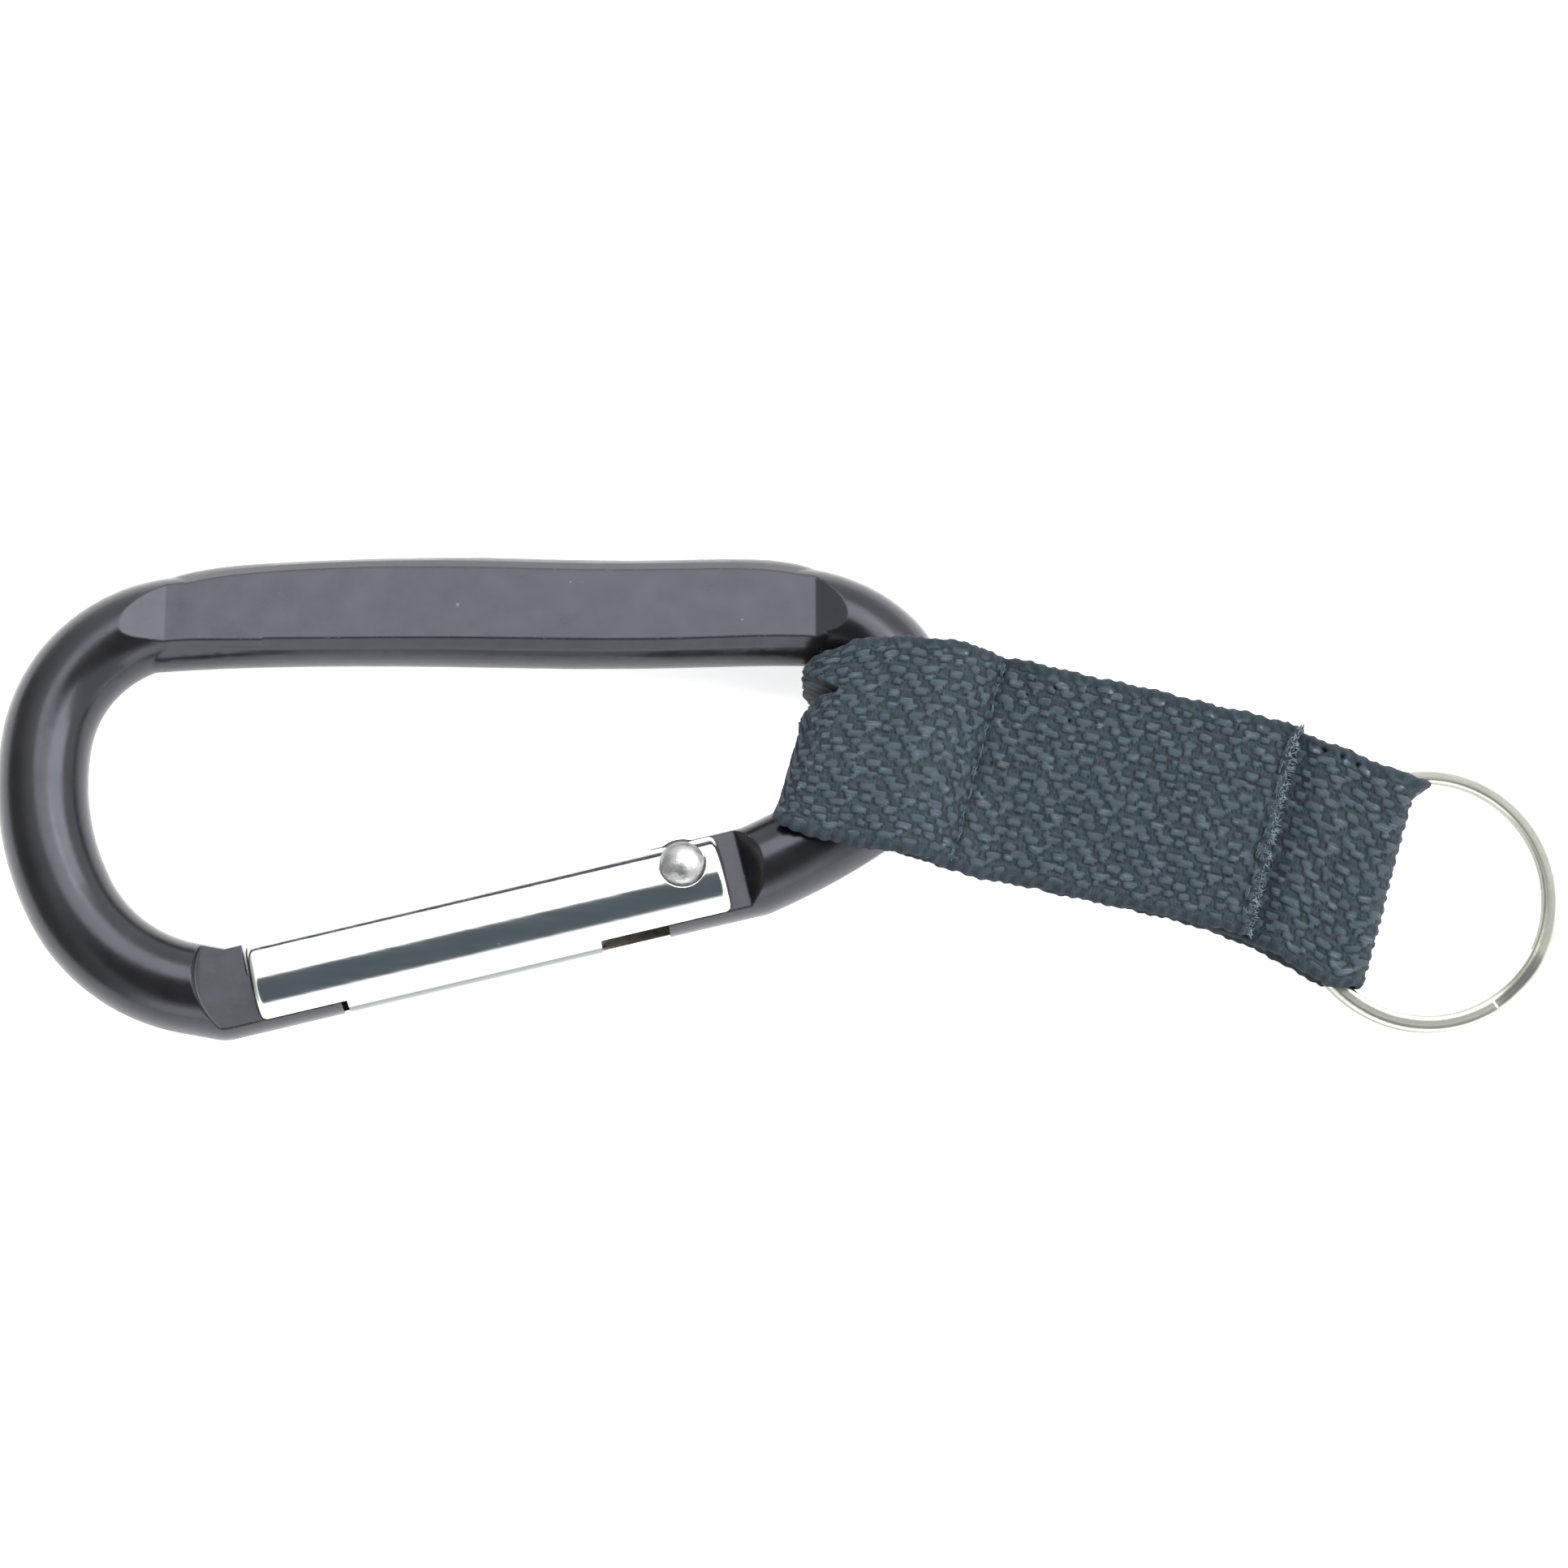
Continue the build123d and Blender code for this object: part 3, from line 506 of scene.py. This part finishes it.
def place(s, v, w):
    """Points of the sewn part's side view (any shape of arrays, in mm) in the frame, in metres."""
    roll = ROLL * smoothstep((s - ROLL_FROM_S) / ROLL_OVER)
    cos_r, sin_r = np.cos(roll)[..., None], np.sin(roll)[..., None]
    out_v = cos_r * level_across + sin_r * lap_up
    out_w = cos_r * lap_up - sin_r * level_across
    return sewn_at + MM * (s[..., None] * along + v[..., None] * out_v + w[..., None] * out_w)


# steps along the strip: of the route, then of the rows seen from above, those underneath and the hidden end's
DENSE, FINE, UNDER, HIDDEN = 0.05, 0.13, 0.225, 0.60
# underneath is short of the fold at the ring; hidden is short of the pocket, past this part of the strip
UNDER_TO_S, HIDDEN_TO_S, HIDDEN_FROM = 36.0, 27.6, 0.6
dense = along_route(route, DENSE)
run = np.gradient(dense[:, :2], axis=0)
run /= np.hypot(run[:, 0], run[:, 1])[:, None]
strip_len = len(dense) * DENSE
walked = np.arange(len(dense)) * DENSE
is_low = (dense[:, 1] < -0.3) & (dense[:, 0] < UNDER_TO_S)
is_hidden = (np.abs(dense[:, 1]) < 0.4) & (walked > strip_len * HIDDEN_FROM) & (dense[:, 0] < HIDDEN_TO_S)
keep, last = [], -math.inf
for k in range(len(dense)):
    gap = HIDDEN if is_hidden[k] else (UNDER if is_low[k] else FINE)
    if walked[k] - last >= gap - 1e-9:
        keep.append(k)
        last = walked[k]
keep = np.array(keep)
row_s, row_w, row_v0, row_v1 = dense[keep].T
row_p = walked[keep]
# the strip's outer side, which faces up at the cut end
out_s, out_w = run[keep, 1], -run[keep, 0]
flip = -1.0 if out_w[0] < 0 else 1.0
out_s, out_w = flip * out_s, flip * out_w

# ---------------------------------------------------------------- webbing: weave
CELL_U, CELL_V = 4.49, 2.09            # one repeat
SQUARENESS = 3.4                      # of a raised yarn's outline: 2 would be an oval
# raised yarns of one repeat: middle, half size, lean, and how much the lower side narrows
YARNS = (
    (0.00, 0.02, 0.60, 0.34, 0.10, 0.22), (-0.16, -0.56, 0.26, 0.27, 0.30, 0.20),
    (1.02, 0.88, 0.58, 0.33, 0.05, 0.10), (2.15, 0.44, 0.62, 0.33, 0.08, -0.12),
    (2.66, -0.24, 0.54, 0.32, 0.10, 0.16), (3.42, -0.88, 0.62, 0.33, 0.10, 0.20),
    (1.22, -0.12, 0.40, 0.28, 0.10, 0.15), (3.72, 0.52, 0.34, 0.26, 0.20, 0.15),
)


def weave(u, v):
    """Height (0 to 1) of the raised yarns and tone of the woven face at u, v in mm."""
    # the yarns waver
    u = u + 0.05 * np.sin(v * 1.9 + 0.6 * u) + 0.03 * np.sin(v * 4.3 - u)
    v = v + 0.05 * np.sin(u * 1.3 + 1.0) + 0.02 * np.sin(u * 3.7 + v)
    cu, cv = np.floor(u / CELL_U), np.floor(v / CELL_V)
    high, level, near = np.zeros_like(u), np.zeros_like(u), np.full_like(u, 9.0)
    for k, (mid_u, mid_v, half_u, half_v, lean, narrow) in enumerate(YARNS):
        for du in (-1, 0, 1):
            for dv in (-1, 0, 1):
                iu, iv = cu + du, cv + dv
                # each yarn is a little out of place, and has its own length and brightness
                x = u - (iu * CELL_U + mid_u + 0.15 * noise_of(iu, iv, k))
                y = v - (iv * CELL_V + mid_v + 0.09 * noise_of(iu, iv, k + 9))
                wide = half_u * (1 + narrow * y / half_v) * (1 + 0.20 * noise_of(iu, iv, k + 17))
                x = x - lean * y
                far = (np.abs(x / wide) ** SQUARENESS + np.abs(y / half_v) ** SQUARENESS) ** (1 / SQUARENESS)
                dome = np.sqrt(np.clip(1 - far ** 3, 0, 1))
                bright = 0.88 + 0.12 * noise_of(iu, iv, k + 31)
                level = np.where(dome * bright > high, bright, level)
                high = np.maximum(high, dome * bright)
                near = np.minimum(near, far)
    # painted shade in a gap round each raised yarn, and fine ribs and strands between them
    painted_gap_shade = np.exp(-((near - 1.14) / 0.15) ** 2)
    ribs = 0.5 + 0.5 * np.cos(2 * math.pi * (v / (CELL_V / 3) + 0.16 * np.sin(u * 1.4)))
    body = smoothstep((1.06 - near) / 0.16)
    strands = 0.5 + 0.5 * np.sin(u * 20 + 3 * np.sin(v * 2.1) + 2 * np.sin(u * 1.7))
    tone = 0.29 + 0.13 * ribs + 0.14 * strands - 0.32 * painted_gap_shade
    slope = 0.08 * np.sin(u * 2.2 + v * 0.7) * np.sin(v * 1.3 - u)
    # the raised yarns are lighter the higher they stand: a painted highlight on their tops
    tone = tone * (1 - body) + body * (0.44 + 0.22 * level + 0.10 * high + slope)
    return np.maximum(high, 0.14 * ribs * (1 - painted_gap_shade)), tone


RELIEF, RELIEF_LOW = 0.19, 0.07       # from the gaps to the highest yarns, and how far the gaps lie down
SELVEDGE, SELVEDGE_FADE = 0.55, 0.6   # width of the selvedges, and how wide they fade into the weave
ROW_LOOP_S, ROW_RING_S = 1.75, 26.1   # the two stitch rows
ROW_PULLS, ROW_PULL_R = (0.30, 0.26), 0.42            # how far each draws the face down, and how wide
PITCH, HOLE_V = 1.8, 0.875            # spacing of the stitches, and where one of their needle holes is
TURN = 1.1                            # spacing of the cross yarn's turns at the selvedges
KNOT_PITCH, KNOT_R, KNOT_IN = 2.2, 0.14, 1.05         # light knots: spacing, size, distance from the edge
# needle holes beside the rows and near the far selvedge: S, V, size
PINS = [(29.3, 9.35, 0.16), (30.7, 9.2, 0.20), (32.1, 8.9, 0.16), (27.9, 9.1, 0.10), (6.4, 8.6, 0.12),
        (8.2, 6.3, 0.11), (2.9, 4.6, 0.12), (2.9, 1.1, 0.13), (2.8, -1.6, 0.13), (4.3, 7.5, 0.12),
        (-0.9, 5.6, 0.12)]


def strip_face(p, s, v0, v1, frac, detail, on_top):
    """Lift in mm and tone of the strip's outer face, p along it from the cut end and frac across it."""
    lay_v = frac * FLAT_W
    v = v0 + (v1 - v0) * frac
    high, tone = weave(-p, lay_v)
    inset = np.minimum(lay_v, FLAT_W - lay_v)
    # selvedges: tight turns of the cross yarn
    turn = p / TURN + inset / 2.4 + 0.14 * np.sin(p * 0.9) + 0.10 * np.sin(p * 2.3 + 1)
    loops = 0.5 + 0.5 * np.cos(2 * math.pi * turn + np.where(frac > 0.5, 1.3, 0))
    loops = loops * (0.75 + 0.25 * noise_of(np.floor(turn), np.floor(frac * 2)))
    edge = 1 - smoothstep((inset - SELVEDGE) / SELVEDGE_FADE)
    high = high * (1 - edge) + edge * (0.30 + 0.34 * loops)
    tone = tone * (1 - edge) + edge * (0.26 + 0.24 * loops)
    # small light knots just inside the far selvedge
    knot = np.mod(p + 0.5 * noise_of(np.floor(p / KNOT_PITCH), 2), KNOT_PITCH) - KNOT_PITCH / 2
    knot = np.exp(-(np.hypot(knot, lay_v - FLAT_W + KNOT_IN) / KNOT_R) ** 2)
    tone = tone + 0.45 * knot
    lift = RELIEF * high - RELIEF_LOW - 0.10 * knot
    # the strap isn't quite flat
    lift += 0.07 * np.sin(p * 0.83 + 0.5) * np.sin(lay_v * 0.61 + 1.1)
    # both rows pull the layers together, most at each needle hole, and painted shade darkens the face along
    # them
    for row_at, depth in zip((ROW_LOOP_S, ROW_RING_S), ROW_PULLS):
        near = np.exp(-((s - row_at) / ROW_PULL_R) ** 2) * on_top
        hole = 0.5 + 0.5 * np.cos(2 * math.pi * (v - HOLE_V) / PITCH)
        lift -= near * depth * (0.55 + 0.45 * hole)
        tone = tone * (1 - 0.45 * near) + 0.05 * near
    # cut end: threads loosened and lighter
    loose = smoothstep((s - RAW_S + 1.0) / 0.5) * smoothstep((RAW_S + 0.3 - s) / 0.3) * on_top * (p < 2.0)
    ragged = 0.5 + 0.5 * noise_of(np.floor(v / 0.16), np.floor(s / 0.22), 5)
    tone = tone * (1 - loose) + loose * (0.40 + 0.50 * ragged)
    lift -= 0.16 * loose * (0.4 + ragged)
    # needle holes: a pit darkened with painted shade, with a lighter rim
    for pin_s, pin_v, size in PINS:
        far = np.hypot(s - pin_s, v - pin_v) / size
        pit = np.exp(-far ** 2) * on_top
        lift -= 0.55 * pit
        rim = np.exp(-((far - 2.2) / 0.8) ** 2) * on_top
        tone = tone * (1 - 0.9 * pit) + 0.10 * rim
    return lift * detail, tone


ACROSS, UNDER_EVERY = 134, 7          # columns of the outer face, and which of them the inner face has
fracs = np.linspace(0, 1, ACROSS)
# closer columns at the selvedges
fracs = fracs - 0.35 * np.sin(2 * math.pi * fracs) / (2 * math.pi)
P, F = np.meshgrid(row_p, fracs, indexing="ij")
S, W = row_s[:, None] + 0 * F, row_w[:, None] + 0 * F
E0, E1 = row_v0[:, None], row_v1[:, None]
# selvedges: a small wave at each turn of the cross yarn, slower ones, and a little unevenness
scallop = 0.06 * np.cos(2 * math.pi * (P / TURN + 0.2 * np.sin(P * 0.9)))
scallop = scallop + 0.06 * np.sin(P * 1.7) + 0.05 * np.sin(P * 0.61) + 0.025 * noise_of(np.floor(P / 0.28), 3)
E0 = E0 - scallop * (1 - F) ** 6
E1 = E1 + np.roll(scallop, 4, axis=0) * F ** 6
hidden = is_hidden[keep][:, None] + 0 * F
# stitches and holes show on the upper layer, and on all of the strap past the cut end
on_top = ((W > 0.5) | (S > RAW_S + 0.6)).astype(float)
lift, tone = strip_face(P, S, E0, E1, F, 1 - 0.9 * hidden, on_top)
# the cut end isn't straight, and its far corner is drawn out into a point
cut = np.clip(1 - P / 2.2, 0, 1)
S = S + cut * (-0.35 * F + 0.16 * np.sin(F * 41) + 0.10 * np.sin(F * 97 + 1) - 0.25)
S = S + cut * 0.35 * np.exp(-((F - 1) / 0.03) ** 2)
V = E0 + (E1 - E0) * F
U = to_loop(S, W)[0]
pull_v, pull = np.array(FOLD_PULL).T
S = S + np.interp(V, pull_v, pull) * smoothstep((PULL_FROM_U - U) / PULL_OVER)
# and the fold round the ring has its far corner drawn out
corner = smoothstep((V - CORNER_V[0]) / CORNER_V[1]) * smoothstep((S - CORNER_S[0]) / CORNER_S[1])
S, V = S + CORNER_OUT[0] * corner, V + CORNER_OUT[1] * corner
inset = np.minimum(F, 1 - F) * FLAT_W
rim = np.sqrt(np.clip(1 - (1 - np.clip(inset / 0.45, 0, 1)) ** 2, 0.0, 1))
end = np.sqrt(np.clip(1 - (1 - np.clip(P / 0.4, 0, 1)) ** 2, 0.02, 1))
top_off = HALF * rim * end + lift * rim
low_off = -HALF * rim * end * 0.98
outer = place(S + out_s[:, None] * top_off, V, W + out_w[:, None] * top_off)
low_cols = np.unique(np.concatenate([np.arange(0, ACROSS, UNDER_EVERY), [1, ACROSS - 2, ACROSS - 1]]))
low_s, low_w = S + out_s[:, None] * low_off, W + out_w[:, None] * low_off
inner = place(low_s[:, low_cols], V[:, low_cols], low_w[:, low_cols])

# nothing sinks into the table
CLEAR_OF_TABLE = 0.02
for face in (outer, inner):
    face[..., 2] = np.maximum(face[..., 2], CLEAR_OF_TABLE * MM)

rows, cols, lows = len(row_p), ACROSS, len(low_cols)
verts = np.concatenate([outer.reshape(-1, 3), inner.reshape(-1, 3)])
index = np.arange(rows * cols).reshape(rows, cols)
below = rows * cols + np.arange(rows * lows).reshape(rows, lows)
top = np.stack([index[:-1, :-1], index[:-1, 1:], index[1:, 1:], index[1:, :-1]], -1).reshape(-1, 4)
under = np.stack([below[:-1, :-1], below[1:, :-1], below[1:, 1:], below[:-1, 1:]], -1).reshape(-1, 4)
left = np.stack([index[:-1, 0], index[1:, 0], below[1:, 0], below[:-1, 0]], -1)
right = np.stack([index[1:, -1], index[:-1, -1], below[:-1, -1], below[1:, -1]], -1)
faces = [tuple(f) for part in (top, under, left, right) for f in part.tolist()]
for row, turn in ((0, 1), (rows - 1, -1)):
    for k in range(lows - 1):
        upper = index[row, low_cols[k]:low_cols[k + 1] + 1].tolist()
        face = [*upper, int(below[row, k + 1]), int(below[row, k])]
        faces.append(tuple(face[::-1] if turn > 0 else face))
strap = make_object("webbing_strap", verts, faces, web_mat)
INNER_TONE = 0.25
tones = np.concatenate([tone.ravel(), np.full(rows * lows, INNER_TONE)])
attribute = strap.data.attributes.new("tone", "FLOAT", "POINT")
attribute.data.foreach_set("value", tones.astype(np.float32))
lay = np.stack([-P, F * FLAT_W], -1)
layout = np.concatenate([lay.reshape(-1, 2), lay[:, low_cols].reshape(-1, 2)])
uv = strap.data.uv_layers.new(name="weave")
corners = np.zeros(len(strap.data.loops), np.int32)
strap.data.loops.foreach_get("vertex_index", corners)
uv.data.foreach_set("uv", layout[corners].astype(np.float32).ravel())
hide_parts("webbing_loop", "webbing_tail")


# ---------------------------------------------------------------- stitch rows
PLIES, PLY_R, PLY_TURN = 3, 0.062, 1.5                # a thread's plies, their radius, one twist's length
THREAD_STEP = 0.09


def stitch_row(name, row_at, body, node, v_from, v_to):
    """Lock stitches on both faces: thin plies, twisted together, that dip into each needle hole."""
    paths = []
    steps = np.arange(v_from, v_to, THREAD_STEP)
    stitch = 2 * math.pi * (steps - HOLE_V) / PITCH
    for side in (1, -1):
        for ply in range(PLIES):
            turn = 2 * math.pi * (steps / PLY_TURN + ply / PLIES)
            hole = 0.5 + 0.5 * np.cos(stitch)
            slant = 0.09 * np.sin(stitch / 2)
            waver = 0.05 * np.sin(steps * 2.7 + 2.1 * ply) + 0.03 * np.sin(steps * 6.1 + ply)
            w = side * (FACE_W - 0.10 - 0.42 * hole ** 3 + 0.05 * np.cos(turn))
            s = row_at + slant + 0.08 * np.sin(turn) + waver
            paths.append(place(s, steps, w))
    row = tubes(name, paths, [PLY_R] * len(paths), thread_mat, 6)
    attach(row, body)
    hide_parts(node)
    return row


row_loop = stitch_row("stitches_by_hook", ROW_LOOP_S, "strap_loop", "stitch_row_loop", -7.9, 9.7)
row_ring = stitch_row("stitches_by_ring", ROW_RING_S, "strap_tail", "stitch_row_ring", -6.6, 9.5)


# ---------------------------------------------------------------- loose fibres at the cut end
FIBRES, CORNER_FIBRES, CORNER_FIBRE_R = 420, 26, 0.028
rng = np.random.default_rng(7)
paths, radii = [], []
for k in range(FIBRES):
    v = rng.uniform(-7.0, 10.6)
    s0 = RAW_S - 0.95 + 0.75 * rng.beta(2.2, 1.6) - 0.35 * (v + 7) / 17
    heading = rng.normal(0, 0.9)
    length = rng.uniform(0.15, 0.55)
    t = np.linspace(0, 1, 5)
    s = s0 + length * np.cos(heading) * t
    vv = v + length * np.sin(heading) * t + 0.05 * np.sin(3 * t + k)
    hanging = 0.35 * np.clip((s - RAW_S + 0.3) / 0.4, 0, 1)
    w = FACE_W - 0.16 + 0.10 * rng.random() + 0.12 * np.sin(math.pi * t) - hanging
    paths.append(place(s, vv, w))
    radii.append(rng.uniform(0.016, 0.034))
# and longer ones at its far corner
for k in range(CORNER_FIBRES):
    t = np.linspace(0, 1, 6)
    length = rng.uniform(0.4, 1.0)
    s = RAW_S - 0.65 + rng.uniform(-0.25, 0.2) + 0.35 * t * length + 0.05 * np.sin(4 * t + k)
    v = 10.5 + rng.uniform(-0.3, 0.1) + length * t * 0.8
    w = 1.2 + rng.uniform(-0.2, 0.25) + 0.15 * t
    paths.append(place(s, v, w))
    radii.append(CORNER_FIBRE_R)
fray = tubes("cut_end_fibres", paths, radii, lint_mat, 4)
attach(fray, "strap_tail")

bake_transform(strap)


# ---------------------------------------------------------------- stage
def quad(name, centre, x_half, y_half, mat):
    c, x, y = (np.array(p, float) for p in (centre, x_half, y_half))
    return make_object(name, [c - x - y, c + x - y, c + x + y, c - x + y], [(0, 1, 2, 3)], mat, False)


FLOOR_HALF = 1.5                      # metres
FLOOR_GLOW = 0.72                     # the floor gives light too, which makes its shadows fainter
paper = Mat("floor").put(Roughness=0.95, Emission_Color=(1, 1, 1, 1), Emission_Strength=FLOOR_GLOW)
paper.colour(paper.ramp(paper.noise(paper.coords(), 40, 3), [(0.3, 0.90), (0.7, 0.92)]))
quad("floor", (0, 0, 0), (FLOOR_HALF, 0, 0), (0, FLOOR_HALF, 0), paper.mat)

ELEVATION = math.radians(75)
to_camera = Vector((0, -math.cos(ELEVATION), math.sin(ELEVATION)))

# white studio all round, with a dark patch overhead on the near side: angles in degrees
PATCH_TILT, PATCH_INNER, PATCH_OUTER = 25, 30, 38
STUDIO_STRENGTH = 1.55
world = bpy.data.worlds.new("studio")
scene.world = world
world.use_nodes = True
wn, wl = world.node_tree.nodes, world.node_tree.links
direction = wn.new("ShaderNodeTexCoord")
dot = wn.new("ShaderNodeVectorMath")
dot.operation = "DOT_PRODUCT"
dark_at = math.radians(PATCH_TILT)
dot.inputs[1].default_value = (0, -math.sin(dark_at), math.cos(dark_at))
wl.new(direction.outputs["Generated"], dot.inputs[0])
ramp = wn.new("ShaderNodeValToRGB")
ramp.color_ramp.elements[0].position = 0.5 + 0.5 * math.cos(math.radians(PATCH_OUTER))
ramp.color_ramp.elements[0].color = (0.98, 1.0, 1.0, 1)
ramp.color_ramp.elements[1].position = 0.5 + 0.5 * math.cos(math.radians(PATCH_INNER))
ramp.color_ramp.elements[1].color = (0.055, 0.070, 0.076, 1)
scaled = wn.new("ShaderNodeMath")
scaled.operation = "MULTIPLY_ADD"
scaled.inputs[1].default_value = 0.5
scaled.inputs[2].default_value = 0.5
wl.new(dot.outputs["Value"], scaled.inputs[0])
wl.new(scaled.outputs[0], ramp.inputs[0])
# and it darkens towards the left horizon
apart = wn.new("ShaderNodeSeparateXYZ")
wl.new(direction.outputs["Generated"], apart.inputs[0])
leftward = wn.new("ShaderNodeMapRange")
for slot, value in zip(("From Min", "From Max", "To Min", "To Max"), (-0.85, -0.45, 0.22, 1.0)):
    leftward.inputs[slot].default_value = value
wl.new(apart.outputs["X"], leftward.inputs["Value"])
dimmed = wn.new("ShaderNodeVectorMath")
dimmed.operation = "SCALE"
wl.new(ramp.outputs[0], dimmed.inputs[0])
wl.new(leftward.outputs["Result"], dimmed.inputs["Scale"])
wl.new(dimmed.outputs[0], wn["Background"].inputs["Color"])
wn["Background"].inputs["Strength"].default_value = STUDIO_STRENGTH

SOFTBOX_FAR = 1.0                     # metres, as the softboxes' sizes


def softbox(name, polar, turn, size, glow):
    """A rectangular light leaning polar degrees from straight up towards +Y, then turned towards +X."""
    a, b = math.radians(polar), math.radians(turn)
    way = Vector((math.sin(a) * math.sin(b), math.sin(a) * math.cos(b), math.cos(a)))
    data = bpy.data.lights.new(name, "AREA")
    data.shape = "RECTANGLE"
    data.size, data.size_y = size
    data.energy = glow * math.pi * size[0] * size[1]
    obj = bpy.data.objects.new(name, data)
    obj.location = way * SOFTBOX_FAR
    obj.rotation_euler = (-way).to_track_quat("-Z", "Y").to_euler()
    scene.collection.objects.link(obj)


softbox("key_far_side", 27, 0, (0.66, 0.62), 3.5)
softbox("fill_near_side", 74, 180, (1.4, 0.42), 1.8)
softbox("key_right", 40, 62, (0.72, 0.62), 5.2)

camera_data = bpy.data.cameras.new("camera")
camera = bpy.data.objects.new("camera", camera_data)
scene.collection.objects.link(camera)
CAMERA_FAR, FRAME_WIDE, SENSOR = 0.36, 130.1, 36      # metres; width seen at the part and of the sensor in mm
AIM_X, AIM_Y = 0.57, 1.01
target = Vector((AIM_X * MM, AIM_Y * MM, mid_z))
camera.location = target + CAMERA_FAR * to_camera
camera.rotation_euler = (target - camera.location).to_track_quat("-Z", "Y").to_euler()
camera_data.sensor_width = SENSOR
camera_data.lens = SENSOR * CAMERA_FAR / (FRAME_WIDE * MM)
camera_data.clip_start = 0.01
scene.camera = camera
scene.view_settings.view_transform = "Standard"
